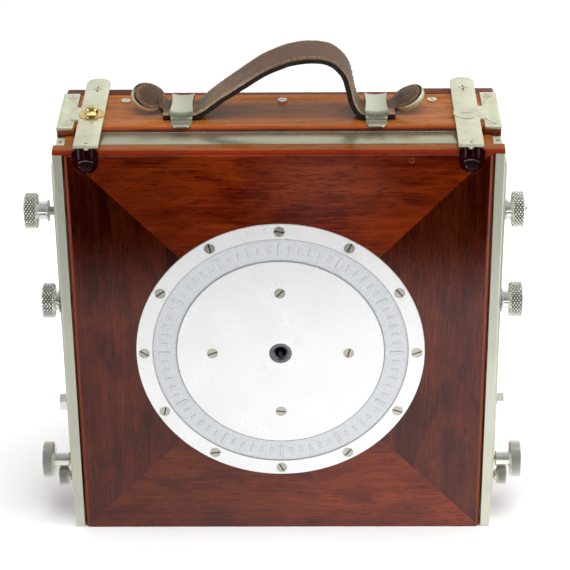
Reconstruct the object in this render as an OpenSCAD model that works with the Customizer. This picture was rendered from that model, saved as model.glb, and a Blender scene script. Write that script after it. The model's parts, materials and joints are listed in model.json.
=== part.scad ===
// Folding-bed large format view camera, folded and standing on its base.
// +Z up, the bed's outer face towards -Y, millimetres.
// Origin: on the underside of the rear standard's box, on the centre line.
// Left pieces lie at -X, right pieces at +X.

/* [Body] */
// Overall width over the metal side rails of the bed
body_w = 305; // [300:1:308]
// Height of the bed
body_h = 305; // [303:1:307]
// Distance from the origin forward to the bed's outer face
front_d = 60; // [60:0.5:62]
// Thickness of the bed boards
bed_t = 11; // [11:0.5:11.5]
// Front face of the rear standard's box, in front of the origin
box_f = 25; // [24.6:0.1:25]
// Rear face of the rear standard's box, behind the origin
box_r = 31; // [31:1:33]
// Thickness of the box boards
wall = 12; // [10:0.5:12]

/* [Tripod plate] */
// Height of the plate's centre
plate_z = 149; // [145:1:152]
// Outer radius of the plate
plate_r = 101.5; // [95:0.5:103]
// Radius of the inner disc
disc_r = 73; // [68:0.5:76]
// Inner edge of the outer bright rim
rim_r = 90; // [86:0.5:92]
// Radius of the circle of rim screws
rim_screw_r = 96; // [94:0.5:98]
// Radius of the circle of disc screws
disc_screw_r = 48; // [40:0.5:60]
// Wall radius of the tapped tripod hole (3/8 inch coarse thread)
tripod_r = 4; // [3.9:0.05:4.1]

/* [Clamps and knobs] */
// Height of the upper clamp knobs
upper_z = 251; // [246:1:255]
// Height of the middle clamp knobs
middle_z = 180; // [176:1:186]
// Radius of the clamp knobs
knob_r = 12.5; // [10:0.5:13]
// Radius of the large focusing knobs
focus_r = 13.5; // [13:0.5:15]
// Height of the focusing shaft above the base
focus_z = 44; // [44:1:45]
// Radius of the track lock knobs
lock_r = 7; // [6:0.5:7.5]

/* [Latches and handle] */
// Distance of each latch from the centre line
latch_x = 129.25; // [126:0.25:129.5]
// Width of a latch strip
latch_w = 17; // [15:0.5:18]
// Distance of each handle loop from the centre line
loop_x = 67; // [60:1:70]
// Width of the leather strap
strap_w = 28; // [22:1:30]
// Height of the strap's arch above the box top
strap_h = 47; // [30:1:55]

/* [Lens and panel] */
// Height of the lens axis at rest
lens_z = 166; // [160:1:170]
// Radius of the lens barrel
lens_r = 20; // [14:1:22]

/* [Hidden] */
$fn = 48;

half_w = body_w/2;
board_x = half_w - 7.2;        // half width of the boards between the side rails
bed_front = -front_d;          // outer face of the bed
bed_back = bed_front + bed_t;  // inner face of the bed, and y of the hinge axis
bed_top = body_h;
box_z = bed_top + 2;           // top of the box
hinge_z = 3;
hinge_x = [104, 132];          // ends of each hinge
knuckle_w = 8.8;
pilot_r = 1.7;                 // screw holes in wood
metal_hole_r = 1.65;           // screw holes in metal
shank_r = 1.6;

// ---------- helpers ----------
module slab(x0, x1, y0, y1, z0, z1)
  translate([min(x0, x1), y0, z0]) cube([abs(x1-x0), y1-y0, z1-z0]);
module rod_x(r, x0, x1, y, z, fn=48)
  translate([min(x0, x1), y, z]) rotate([0,90,0]) cylinder(r=r, h=abs(x1-x0), $fn=fn);
module rod_y(r, y0, y1, x, z, fn=48)
  translate([x, y1, z]) rotate([90,0,0]) cylinder(r=r, h=y1-y0, $fn=fn);
module rod_z(r, z0, z1, x, y, fn=48) translate([x, y, z0]) cylinder(r=r, h=z1-z0, $fn=fn);
// Profile drawn in X and Z, from y0 to y1
module extrude_y(y0, y1) translate([0,y1,0]) rotate([90,0,0]) linear_extrude(y1-y0) children();
// Profile drawn in Y and Z, from x0 to x1
module extrude_x(x0, x1) translate([x0,0,0]) rotate([90,0,90]) linear_extrude(x1-x0) children();
module flip() mirror([1,0,0]) children();
module both() {
  flip() children();
  children();
}
function moved(points, by) = [for (p=points) p + by];

// Waste outside a rounded corner, and the same along the edges of a board
module waste(r) difference() {
  square([r+1, r+1]);
  circle(r=r);
}
module upright_edge(r, x, y, length)
  translate([x-r, y+r, -1]) rotate([0,0,-90]) linear_extrude(length) waste(r);
module front_top_edge(r, x, y, z, length)
  translate([x, y+r, z-r]) rotate([90,0,90]) flip() linear_extrude(length) waste(r);
module rear_top_edge(r, x, y, z, length)
  translate([x, y-r, z-r]) rotate([90,0,90]) linear_extrude(length) waste(r);

// ---------- bed ----------
lip_h = 2.3;      // lip of the top rail over the side rails
bed_round = 4;
scoop_r = 9;
rim_screws = [for (a=[0:30:330]) rim_screw_r*[cos(a), sin(a)]];
disc_screw_spots = [for (a=[0:90:270]) disc_screw_r*[cos(a), sin(a)]];

// Y-cylinder on the tripod plate: y from the bed's outer face, [x, z] from the plate's centre
module plate_rod(r, y0, y1, fn=180, at=[0,0])
  rod_y(r, bed_front+y0, bed_front+y1, at.x, plate_z+at.y, fn);

module hinge_clearance() rod_x(3.2, hinge_x[0]-0.3, hinge_x[1]+0.3, bed_back, hinge_z);
module bed_cuts() {
  plate_rod(plate_r+0.1, -1, 3);
  plate_rod(14.1, -1, bed_t+1, 64);
  for (at=concat(rim_screws, disc_screw_spots)) plate_rod(pilot_r, -1, 9.5, 24, at);
  both() {
    // finger scoops under the latch strips
    rod_z(scoop_r, bed_top-8, bed_top+1, 130, bed_front-2);
    translate([130, bed_front-2, bed_top-8]) sphere(r=scoop_r);
    // hinge leaf pockets and knuckle clearance
    slab(hinge_x[0]-0.3, hinge_x[1]+0.3, bed_back-1.55, bed_back+1, -1, 24.3);
    hinge_clearance();
  }
}
module bed_round_over() {
  both() upright_edge(bed_round, board_x, bed_front, bed_top-2);
  front_top_edge(bed_round, -half_w-2, bed_front, bed_top, 2*half_w+4);
}
module finished_board() difference() {
  children();
  bed_cuts();
  bed_round_over();
}
// Each board is a triangle from one edge of the bed to a point above the plate's centre
module board_wedge(from, to)
  extrude_y(bed_front, bed_back) polygon([from, to, [0, plate_z+2]]);
module bed_rail_top() color("#7a2a16") finished_board() union() {
  board_wedge([-board_x, bed_top], [board_x, bed_top]);
  slab(-half_w+0.2, half_w-0.2, bed_front, bed_back, bed_top-lip_h, bed_top);
  both() slab(136.5, board_x-0.2, bed_back, bed_back+17.6, bed_top-20, bed_top-1.5);
}
module bed_rail_bottom() color("#8a3a22")
  finished_board() board_wedge([-board_x, 0], [board_x, 0]);
module bed_stile(side) finished_board() difference() {
  board_wedge([side*board_x, 0], [side*board_x, bed_top]);
  slab(-half_w, half_w, bed_front-1, bed_back+1, bed_top-lip_h, bed_top+1);
}
module bed_stile_left() color("#5d1f17") bed_stile(-1);
module bed_stile_right() color("#641f14") bed_stile(1);
module side_rail() difference() {
  slab(half_w-6.6, half_w, bed_front+0.3, bed_back, 0, bed_top-2.5);
  upright_edge(1.2, half_w, bed_front+0.3, bed_top+2);
}
module side_rail_left() color("#b9bcb6") flip() side_rail();
module side_rail_right() color("#b9bcb6") side_rail();

// ---------- tripod plate ----------
plate_t = 3;      // depth of the plate in the bed
head_seat_r = 3.8;
pin_r = 3;
pins = [[-12.6, -12], [12, 9.6]];   // plain pins in the disc, [x, z] from its centre

module tripod_ring() color("#d4d6d7") difference() {
  plate_rod(plate_r, -1.2, plate_t);
  plate_rod(disc_r+0.05, -2, 4);
  // recessed band inside the bright rim
  difference() {
    plate_rod(rim_r, -2, -0.6);
    plate_rod(disc_r+0.6, -3, 1);
  }
  for (at=rim_screws) {
    plate_rod(metal_hole_r, -3, 4, 24, at);
    plate_rod(head_seat_r, -3, -0.2, 32, at);
  }
}
module tripod_disc() color("#e4e6e7") difference() {
  plate_rod(disc_r-0.05, -1.4, plate_t);
  plate_rod(8.02, -3, 4, 48);
  for (at=disc_screw_spots) {
    plate_rod(metal_hole_r, -3, 4, 24, at);
    plate_rod(head_seat_r, -3, -0.4, 32, at);
  }
  for (at=pins) plate_rod(pin_r+0.02, -3, 4, 32, at);
}
module tripod_bush() color("#55585c") difference() {
  union() {
    plate_rod(8, -1.4, plate_t, 48);
    plate_rod(14, plate_t+0.02, bed_t-0.1, 64);   // flange behind the disc
    plate_rod(8, 2.9, 3.1, 48);                   // joins the flange to the sleeve
  }
  plate_rod(tripod_r, -3, bed_t+3, 48);
  translate([0, bed_front-1.41, plate_z]) rotate([-90,0,0])
    cylinder(r1=5.6, r2=tripod_r, h=1.6);
}
// Slotted screw facing -Y; at is from the plate's centre, y from the bed's outer face
module plate_screw(at, y, turn)
  translate([at.x, bed_front+y, plate_z+at.y]) rotate([90,0,0]) rotate(turn) difference() {
    union() {
      translate([0,0,-1.05]) cylinder(r=3.75, h=1.25, $fn=32);
      translate([0,0,-9]) cylinder(r=shank_r, h=8, $fn=24);
    }
    translate([-5,-0.45,-0.55]) cube([10,0.9,2]);
  }
module ring_screws() color("#c9c7be")
  for (i=[0:11]) plate_screw(rim_screws[i], -1.25, i*30*3.7+20);
module disc_screws() color("#c9c7be") {
  for (i=[0:3]) plate_screw(disc_screw_spots[i], -1.45, 75-i*90*0.3);
  for (at=pins) plate_rod(pin_r, -1.38, 2.9, 32, at);
}

// ---------- fittings inside the bed ----------
shaft_y = bed_back + 13;
shaft_r = 3;
lock_y = bed_back + 11;
lock_z = focus_z - 13;

module bed_hinge_leaves() color("#c4a35a") both() difference() {
  union() {
    slab(hinge_x[0], hinge_x[1], bed_back-1.5, bed_back-0.05, 4, 24);
    for (x=[hinge_x[0], hinge_x[1]-knuckle_w]) {
      rod_x(2.6, x, x+knuckle_w, bed_back, hinge_z);
      slab(x, x+knuckle_w, bed_back-1.5, bed_back-0.1, 3, 6);
    }
  }
  rod_x(1.25, hinge_x[0]-1, hinge_x[1]+1, bed_back, hinge_z, 32);
  rod_x(3, hinge_x[0]+knuckle_w, hinge_x[1]-knuckle_w, bed_back, hinge_z);
}
module track_guides() color("#c4a35a") both() for (z=[[18,58], [114,150]]) {
  slab(95.3, 103, bed_back, bed_back+4.1, z[0], z[1]);
  slab(91, 103, bed_back+4.1, bed_back+5.6, z[0], z[1]);
}
module focus_bearings() color("#c9b27a") both() difference() {
  union() {
    slab(140, 146, bed_back, bed_back+18.5, 20, 54);
    rod_x(2.5, 146, 163, lock_y, lock_z, 32);   // stud of the track lock knob
  }
  rod_x(shaft_r+0.05, 139, 147, shaft_y, focus_z);
}
module corner_brackets() color("#d8d8cf") both() difference() {
  union() {
    slab(board_x, 151.3, bed_back+0.05, bed_back+1.6, bed_top-24, bed_top-1.4);
    slab(board_x, 151.3, bed_back+0.05, bed_back+15.5, bed_top-2.9, bed_top-1.4);
  }
  rod_z(1.5, bed_top-6, bed_top, 148.2, bed_back+9.5, 24);
}

// ---------- front track, rack and pinion ----------
gear_module = 1;
teeth = 16;
pitch_r = gear_module*teeth/2;
pressure_angle = 20;
rack_x = [56, 64];
track_z = [6, 112];
bracket_x = [150, 152.4];
bracket_z = [62, 76];
// One rack tooth, [y, z]
rack_tooth = [[-1.25,-1.1], [-1.25,1.1], [0.8,0.42], [0.8,-0.42]];

module track_plate() color("#b59a62") difference() {
  union() {
    slab(-95, 95, bed_back+0.1, bed_back+3.5, track_z[0], track_z[1]);
    both() {
      slab(rack_x[0], rack_x[1], bed_back+3.4, bed_back+3.8, track_z[0], track_z[1]);
      extrude_x(rack_x[0], rack_x[1]) for (k=[-11:21])
        translate([bed_back+5, focus_z+k*PI*gear_module]) polygon(rack_tooth);
    }
  }
  for (x=[-30,30]) slab(x-14, x+14, bed_back-1, bed_back+5, 24, 94);
}
module standard_bracket() color("#bfc0ba") both() {
  slab(95, bracket_x[1], bed_back+0.2, bed_back+3.2, bracket_z[0], bracket_z[1]);
  difference() {
    union() {
      slab(bracket_x[0], bracket_x[1], bed_back+3.2, 9, bracket_z[0], bracket_z[1]);
      rod_x(7, bracket_x[0], bracket_x[1], 9, 69);
    }
    rod_x(3, 149, 153, 9, 69, 32);
  }
}
// Involute of a unit circle, by roll angle in degrees
function involute(t) = [cos(t)+t*PI/180*sin(t), sin(t)-t*PI/180*cos(t)];
module pinion_2d() {
  base_r = pitch_r*cos(pressure_angle);
  // half the tooth angle at the base circle, thinned by 0.3 mm at the pitch circle
  half = (PI*gear_module/2-0.3)/(2*pitch_r)*180/PI
    + (tan(pressure_angle)-pressure_angle*PI/180)*180/PI;
  flank = [for (t=[0,10,18,25,30.5]) let(p=involute(t)*base_r)
    [p.x*cos(half)+p.y*sin(half), p.y*cos(half)-p.x*sin(half)]];
  circle(r=pitch_r-1.25);
  for (i=[0:teeth-1]) rotate(i*360/teeth) polygon(concat(
    [[pitch_r-1.6,-1.05]],
    flank,
    [for (k=[4:-1:0]) [flank[k].x, -flank[k].y]],
    [[pitch_r-1.6,1.05]]));
}
module focus_shaft() color("#c9b27a") union() {
  rod_x(shaft_r, -168, 168, shaft_y, focus_z);
  for (x=[55,-65]) translate([x,shaft_y,focus_z]) rotate([90,0,90])
    linear_extrude(10) rotate(360/teeth/2) pinion_2d();
}

// ---------- knobs ----------
// Right-hand knob: neck from neck_x, stepped head from head_x to end_x, blind bore
module knob(head_r, neck_r, neck_x, head_x, end_x, bore_r, bore_d, y, z) difference() {
  union() {
    rod_x(neck_r, neck_x, head_x+0.5, y, z);
    rod_x(head_r-0.7, head_x, end_x, y, z, 64);
    rod_x(head_r, head_x+0.9, end_x-0.9, y, z, 64);
    rod_x(head_r*0.62, end_x-0.1, end_x+0.5, y, z);
  }
  rod_x(bore_r, neck_x-1, neck_x+bore_d, y, z);
}
module focus_knob(head_x, end_x)
  knob(focus_r, 5.4, 157, head_x, end_x, shaft_r+0.02, 11.5, shaft_y, focus_z);
module focus_knob_right() color("#d5d6d2") union() {
  focus_knob(167, 175.5);
  rod_x(2.2, 175.5, 177.5, shaft_y, focus_z);
}
module focus_knob_left() color("#d5d6d2") flip() focus_knob(168, 176.5);
module lock_knob() knob(lock_r, 4, 156.5, 158, 165.5, 2.55, 7, lock_y, lock_z);
module track_lock_knob_right() color("#d5d6d2") lock_knob();
module track_lock_knob_left() color("#d5d6d2") flip() lock_knob();

clamp_y = -39.5;    // clamp axes
clamp_bore_r = 3.05;
// Clamp knob with a collar at its inner end
module clamp_knob(z, collar_r, head_x, end_x, neck_x=156.2, bore_d=6, collar_x=155.3) {
  knob(knob_r, 6.4, neck_x, head_x, end_x, clamp_bore_r, bore_d, clamp_y, z);
  difference() {
    rod_x(collar_r, collar_x, collar_x+1.1, clamp_y, z);
    rod_x(clamp_bore_r, collar_x-0.3, collar_x+1.7, clamp_y, z);
  }
}
module rise_knob_left() color("#d5d6d2") flip()
  clamp_knob(upper_z, 7.6, 166.5, 176, neck_x=160, bore_d=10, collar_x=159.3);
module rise_knob_right() color("#d5d6d2") union() {
  clamp_knob(upper_z, 7.6, 160, 168.5);
  rod_x(2.2, 168.4, 171.5, clamp_y, upper_z);
}
module tilt_knob_left() color("#d5d6d2") flip() clamp_knob(middle_z, 9, 159, 168);
module tilt_knob_right() color("#d5d6d2") clamp_knob(middle_z, 9, 161, 170.5);

// ---------- front standard ----------
frame_in = 131;
frame_out = 134;
frame_top = bed_top - 1;
frame_z = 88;              // lower edge of the frame
panel_y = -box_f - 0.5;    // rear face of the frame and the lens panel
upright_in = 153;
upright_out = 155;
lower_z = 96;              // lower studs, under the clamps
clamp_stud_r = 3;
guide_top = 287;
// Side view of an upright, [y, z]
upright_outline = [[-47,20], [-41,20], [-41,56], [-32,64], [-32,282],
  [-35,288.5], [-39.5,290], [-44,288.5], [-47,282]];

module standard_frame() color("#b4b5ae") difference() {
  union() {
    slab(-frame_out, frame_out, bed_back+3, panel_y, frame_top-2.5, frame_top);
    both() slab(frame_in, frame_out, bed_back+0.5, panel_y, frame_z, frame_top);
    slab(-frame_out, frame_out, bed_back+10, panel_y, frame_z, frame_z+2.5);
  }
  both() for (z=[upper_z,middle_z]) rod_x(clamp_stud_r+0.02, frame_in-1, frame_out+1, clamp_y, z);
}
module front_board() color("#6e2917") difference() {
  slab(-frame_in+0.1, frame_in-0.1, -box_f-0.4, -box_f+10, frame_z, bed_top-15.5);
  slab(-62, 62, -box_f-2, -box_f+12, 138, 239);
}
module panel_guides() color("#6e2917") both() {
  slab(98.4, 108, -box_f-7, -box_f-0.45, frame_z+2.6, guide_top);
  slab(93, 108, -box_f-9.5, -box_f-7, frame_z+2.6, guide_top);
}
module upright() difference() {
  cut_r = clamp_stud_r+0.1;
  x0 = upright_in-1;
  x1 = upright_out+1;
  extrude_x(upright_in, upright_out) polygon(upright_outline);
  // slots for the clamp studs
  for (z=[[middle_z,middle_z+22], [upper_z-24,upper_z+14]]) {
    slab(x0, x1, clamp_y-cut_r, clamp_y+cut_r, z[0], z[1]);
    for (end_z=z) rod_x(cut_r, x0, x1, clamp_y, end_z);
  }
  rod_x(cut_r, x0, x1, clamp_y, lower_z);
}
module upright_right() color("#c2c3bd") upright();
module upright_left() color("#c2c3bd") flip() upright();
module clamp_studs() color("#b9a877") {
  // [inner end, outer end, height]
  for (s=[[frame_in,162.2,upper_z], [frame_in,161.2,middle_z],
      [-frame_in,-168.2,upper_z], [-frame_in,-162.2,middle_z]])
    rod_x(clamp_stud_r, s[0], s[1], clamp_y, s[2]);
  both() {
    rod_x(clamp_stud_r, 152.5, 160.4, clamp_y, lower_z);
    rod_x(5, 152.5, 152.95, clamp_y, lower_z);
  }
}
module upright_nuts() color("#cfcfc8") both() difference() {
  union() {
    rod_x(6.5, upright_out+0.6, upright_out+5.4, clamp_y, lower_z, 6);
    rod_x(6.2, upright_out+0.02, upright_out+0.6, clamp_y, lower_z);   // washer
  }
  rod_x(clamp_stud_r+0.02, upright_out-1, upright_out+7, clamp_y, lower_z);
}

// ---------- lens panel ----------
lens_board_s = 60;    // half side of the lens board

// Y-cylinder on the lens axis, y from the rear face of the panel
module lens_rod(r, y0, y1, fn=72) rod_y(r, panel_y+y0, panel_y+y1, 0, lens_z, fn);
// Block in the panel, half width x, y from the panel's rear face, z from the lens axis
module lens_slab(x, y0, y1, z0, z1)
  slab(-x, x, panel_y+y0, panel_y+y1, lens_z+z0, lens_z+z1);

module rise_panel() color("#7a2f1b") difference() {
  rebate = lens_board_s+0.3;
  slab(-98, 98, panel_y-6.4, panel_y, 92, 242);
  lens_slab(50, -8, 1, -50, 50);
  lens_slab(rebate, -8, -2.4, -rebate, rebate);
}
module lens_board() color("#8a3a20") difference() {
  lens_slab(lens_board_s, -6.3, -2.45, -lens_board_s, lens_board_s);
  lens_rod(17.05, -8, 0, 48);
}
module lens_board_clip() color("#c9a95a") lens_slab(22, -8.4, -6.45, -68, -56);
module lens_board_catch() color("#c9a95a") union() {
  lens_slab(24, -8.4, -6.45, 55, 66);
  rod_y(2.5, panel_y-10.5, panel_y-8.3, 0, lens_z+61, 32);
}
module lens_barrel() color("#2a2a2c") difference() {
  union() {
    lens_rod(26, -8.4, -6.35);
    lens_rod(lens_r, -17.5, -8.3);
    lens_rod(17, -6.5, 6);
  }
  lens_rod(13.5, -19, 8, 64);
  // groove of the aperture ring
  difference() {
    lens_rod(lens_r+1, -15.6, -10.4);
    lens_rod(lens_r-2, -17, -9);
  }
}
module lens_elements() color("#9fb8c4")
  for (y=[[-15.5,-12], [1,4.5]]) lens_rod(13.45, y[0], y[1], 64);
module aperture_ring() color("#b08d4a") difference() {
  union() {
    lens_rod(lens_r+1.5, -15.3, -10.7);
    translate([0,panel_y-13,lens_z]) rotate([0,25,0])
      translate([-1.5,-1.5,lens_r]) cube([3,3,5.5]);
  }
  lens_rod(lens_r-1.95, -17, -9);
}

// ---------- rear standard ----------
box_hw = 149.5;                // half width of the box
box_top_hw = 151.8;            // half width of its top board
post_x = 140.3;                // inner face of the front corner posts
wing_front = -box_f - 4.5;     // front ends of the latch plates' wings
wing_x = 145.6;                // wing screws
wing_y = [-22, 24];
row_x = [-108, 2, 107];        // row of screws near the rear of the top
row_y = 20.8;
stud_y = -10;                  // stud and disc in the middle of the latches
top_holes = concat([for (s=[-1,1], y=wing_y) [s*wing_x,y]], [for (x=row_x) [x,row_y]],
  [[latch_x,stud_y]]);

module box_top() color("#94431f") difference() {
  union() {
    difference() {
      slab(-box_top_hw, box_top_hw, -box_f, box_r, bed_top-wall, box_z);
      front_top_edge(2, -153, -box_f, box_z, 306);
    }
    // corner posts under the front ends of the wings
    both() {
      slab(post_x, box_top_hw, wing_front, -box_f, box_z-20, box_z);
      slab(post_x, box_top_hw, -box_f-1, -box_f+3, bed_top-wall+0.5, box_z);
    }
  }
  for (at=top_holes) rod_z(pilot_r, box_z-9, box_z+1, at.x, at.y, 24);
  for (x=row_x) rod_z(3.5, box_z-0.75, box_z+1, x, row_y, 32);
  rod_z(4, box_z-7, box_z+1, -latch_x, stud_y, 32);
}
module box_bottom() color("#7a2f1b") slab(-box_hw, box_hw, -box_f, box_r, 0, wall);
module box_side() slab(box_hw-wall, box_hw, -box_f, box_r, wall, bed_top-wall);
module box_side_right() color("#7a2f1b") box_side();
module box_side_left() color("#7a2f1b") flip() box_side();
module box_sill() color("#6e2917") difference() {
  union() {
    slab(-98, 98, bed_back+7, -box_f, 4, 16);
    both() slab(98, 140, bed_back+0.4, -box_f, 4, 16);
  }
  both() hinge_clearance();
}
module hinge_leaf_and_pins() color("#c4a35a") both() {
  difference() {
    union() {
      rod_x(2.6, 113, 123, bed_back, hinge_z);
      slab(113, 123, bed_back, -31, hinge_z-0.6, hinge_z+0.98);
    }
    rod_x(1.2, 112, 124, bed_back, hinge_z, 32);
  }
  rod_x(1.2, hinge_x[0], hinge_x[1], bed_back, hinge_z, 32);
}

// ---------- latches ----------
strip_z = box_z + 1.2;         // underside of the latch strips
strip_t = 1.8;
strip_top = strip_z + strip_t;
strip_x = [latch_x-latch_w/2, latch_x+latch_w/2];
neck_y = [-17.5, 3];           // neck of the latch plates
centre_y = [-19.2, 3.2];       // centre part of the latch strips
// round roots of the front and rear fingers, just clear of the centre part
front_root = centre_y[0] - strip_t/2 - 0.05;
rear_root = centre_y[1] + strip_t/2 + 0.05;
tip_y = bed_front + 3.3;       // rivet under the front tip
catch_end = 54 - latch_w/2;    // centre of the catch's round end
// Side view of the front tip, [y, z] from the bed's outer face and the strip's underside
tip_outline = [[4,0], [4,strip_t], [0.6,1.55], [-0.3,1.2], [-0.3,-0.45], [0.6,-0.35]];

// Wing, neck and centre on each side of the top
module latch_plates() color("#d3d4c8") both() difference() {
  union() {
    slab(strip_x[0], strip_x[1], centre_y[0], centre_y[1], box_z, strip_top);
    slab(latch_x, 142, neck_y[0], neck_y[1], box_z, strip_top);
    slab(140.8, 152.2, wing_front, 29.6, box_z, strip_z+0.6);
    slab(140.8, 143.4, neck_y[0], neck_y[1], box_z, strip_top);
  }
  rod_z(4.02, box_z-1, strip_z+5, latch_x, stud_y, 32);
  for (y=wing_y) {
    rod_z(3.5, strip_z-0.4, strip_z+3, wing_x, y, 32);
    rod_z(metal_hole_r, box_z-1, strip_z+3, wing_x, y, 24);
  }
}
// Flat spring from y0 to y1 with a round root
module strip(y0, y1, root) {
  slab(strip_x[0], strip_x[1], y0, y1, strip_z, strip_top);
  rod_x(strip_t/2, strip_x[0], strip_x[1], root, strip_z+strip_t/2, 32);
}
// Front finger, which holds the bed
module latch_finger() difference() {
  union() {
    strip(bed_front+4, front_root, front_root);
    extrude_x(strip_x[0], strip_x[1]) polygon(moved(tip_outline, [bed_front,strip_z]));
    rod_z(1.9, bed_top+0.4, strip_z+0.3, latch_x, tip_y, 24);
  }
  rod_z(1.2, strip_z+0.6, strip_z+5, latch_x, tip_y, 24);
}
module latch_finger_right() color("#d3d4c8") latch_finger();
module latch_finger_left() color("#d3d4c8") flip() latch_finger();
// Rear finger with a cross-shaped cut, which holds the back
module back_catch() difference() {
  union() {
    strip(rear_root, catch_end, rear_root);
    rod_z(latch_w/2, strip_z, strip_top, latch_x, catch_end, 64);
  }
  slab(latch_x-3.6, latch_x+3.6, 34.3, 35.2, strip_z-1, strip_z+3);
  slab(latch_x-0.5, latch_x+0.5, 30.2, 39.4, strip_z-1, strip_z+3);
}
module back_catch_right() color("#d3d4c8") back_catch();
module back_catch_left() color("#d3d4c8") flip() back_catch();
module latch_stud_left() color("#d2a83e") {
  rod_z(3.95, box_z-6, box_z+4, -latch_x, stud_y, 32);
  rod_z(8.9, strip_top+0.05, strip_top+1.25, -latch_x, stud_y);
  rod_z(4.5, strip_top+1, strip_top+5.2, -latch_x, stud_y);
  // domed cap
  translate([-latch_x,stud_y,strip_top+5]) rotate_extrude() intersection() {
    translate([0,-6.6]) circle(r=8, $fn=64);
    square([4.5,3]);
  }
}
// Slotted screw facing +Z
module top_screw(x, y, z, length, turn) translate([x,y,z]) rotate(turn) difference() {
  union() {
    translate([0,0,-0.9]) cylinder(r=3.4, h=1.1, $fn=32);
    translate([0,0,-length]) cylinder(r=shank_r, h=length-0.8, $fn=24);
  }
  translate([-5.4,-0.4,-0.35]) cube([10.8,0.8,2]);
}
module box_screws() color("#cfcdc2") {
  for (s=[-1,1], y=wing_y) top_screw(s*wing_x, y, strip_z+0.55, 9, 20+y*4+s*15);
  for (x=row_x) top_screw(x, row_y, box_z+0.25, 8, x);
  // slotted disc in the right latch
  difference() {
    union() {
      rod_z(shank_r, box_z-8, box_z+0.1, latch_x, stud_y, 32+16);
      rod_z(3.95, box_z+0.01, strip_top, latch_x, stud_y, 32);
      rod_z(9.2, strip_top+0.02, strip_top+0.5, latch_x, stud_y);
      rod_z(3.95, strip_top, strip_top+0.1, latch_x, stud_y, 32);
    }
    translate([latch_x-4,stud_y-0.4,strip_top+0.15]) cube([8,0.8,2]);
  }
}

// ---------- handle ----------
// Side view of a handle loop, [y, z above the box top]
loop_outline = [[-26.3,0], [-16,0], [-16,5.4], [16,5.4], [16,0], [25,0], [25,1.5],
  [17.8,1.5], [17.4,5.2], [15.6,6.9], [-15.6,6.9], [-17.4,5.2], [-17.8,1.5], [-26.3,1.5]];
strap_z = box_z + 2.7;    // centreline of the strap's flat ends
strap_t = 4.5;
// The arch of the strap's centreline, [x, height above its flat ends],
// for loops at arch_loop_x and a strap height of arch_h
arch_loop_x = 67;
arch_h = 47;
arch = [[-57.2,0], [-54,1.7], [-50,4.6], [-46,7.8], [-39,13.2], [-29,20.2],
  [-19,27.1], [-10.7,32.5], [-3.5,36.1], [3.3,38.9], [10,40.9], [17,42],
  [24,42.3], [31,41.5], [36,39.7], [40.5,36.3], [44.3,31.8], [46.8,26.3],
  [48.3,20.3], [49.4,14.3], [50.9,8.8], [53,4.2], [55.2,1.5], [57.2,0]];
strap_line = concat(
  [[-loop_x-14,strap_z]],
  [for (p=arch) [p.x+(p.x<0 ? -1 : 1)*(loop_x-arch_loop_x), strap_z+p.y*strap_h/arch_h]],
  [[loop_x+14,strap_z]]);
last = len(strap_line) - 1;
function strap_side(i, offset) =
  let(d=strap_line[min(i+1,last)]-strap_line[max(i-1,0)], along=d/norm(d))
  strap_line[i] + offset*[-along.y, along.x];

module handle_loops() color("#cdcec6") for (s=[-1,1]) translate([s*loop_x,0,0])
  extrude_x(-8, 8) polygon(moved(loop_outline, [0,box_z]));
module handle_strap() color("#5b3a26") union() {
  extrude_y(-strap_w/2, strap_w/2) polygon(concat(
    [for (i=[0:last]) strap_side(i, strap_t/2)],
    [for (i=[last:-1:0]) strap_side(i, -strap_t/2)]));
  // tilted round ends and the blocks that join them
  for (s=[-1,1]) {
    translate([s*(loop_x+23),5,box_z+10.2]) rotate([24,-18*s,0])
      cylinder(r=11.5, h=5, center=true);
    slab(s*(loop_x+12), s*(loop_x+20), -6, 9, box_z+1.5, box_z+8);
  }
}

// ---------- bellows ----------
module bellows() color("#1d1a19") difference() {
  hull() {
    slab(-74, 74, -box_f+10.3, -box_f+12, 96, 286);
    slab(-128, 128, box_r-4, box_r-0.2, 30, 288);
  }
  hull() {
    slab(-66, 66, -box_f+9, -box_f+12, 104, 278);
    slab(-120, 120, box_r-4, box_r+2, 38, 280);
  }
}

// ---------- back ----------
back_y = box_r + 0.2;
frame_rear = back_y + 10.8;
back_hw = 151.3;
glass_z = 152.5;      // centre of the ground glass
back_round = 1.5;
bow_r = 600;
// Raised end of the frame's top edge, [x, z from the bed's top]
raised_end = [[88,-3], [back_hw,-3], [back_hw,0.9], [149.8,2], [97,2], [91,1], [88,-0.6]];

// Block centred on the glass, half width x and half height z, y from back_y
module back_slab(x, z, y0, y1) slab(-x, x, back_y+y0, back_y+y1, glass_z-z, glass_z+z);

module spring_back_frame() color("#6b2a17") difference() {
  union() {
    slab(-back_hw, back_hw, back_y, frame_rear, 3, bed_top-0.6);
    both() extrude_y(back_y, frame_rear) polygon(moved(raised_end, [0,bed_top]));
  }
  back_slab(127, 101.6, -1, 12);
  rear_top_edge(back_round, -90, frame_rear, bed_top-0.6, 180);
  both() rear_top_edge(back_round, 89, frame_rear, bed_top+2, 64);
}
module ground_glass_frame() color("#7a2f1b") difference() {
  back_slab(142, 122, 11, 19);
  back_slab(122, 96.5, 10, 21);
  back_slab(130.2, 104.7, 10, 13.2);
}
module ground_glass() color("#cfe3e6") back_slab(130, 104.5, 11.1, 13.1);
module bow_springs() color("#cfcfc8") both() extrude_x(127, 138) intersection() {
  difference() {
    translate([back_y+24.2-bow_r,glass_z]) circle(r=bow_r, $fn=360);
    translate([back_y+23-bow_r,glass_z]) circle(r=bow_r, $fn=360);
  }
  translate([back_y+19.03,glass_z-85]) square([10,170]);
}

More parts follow.
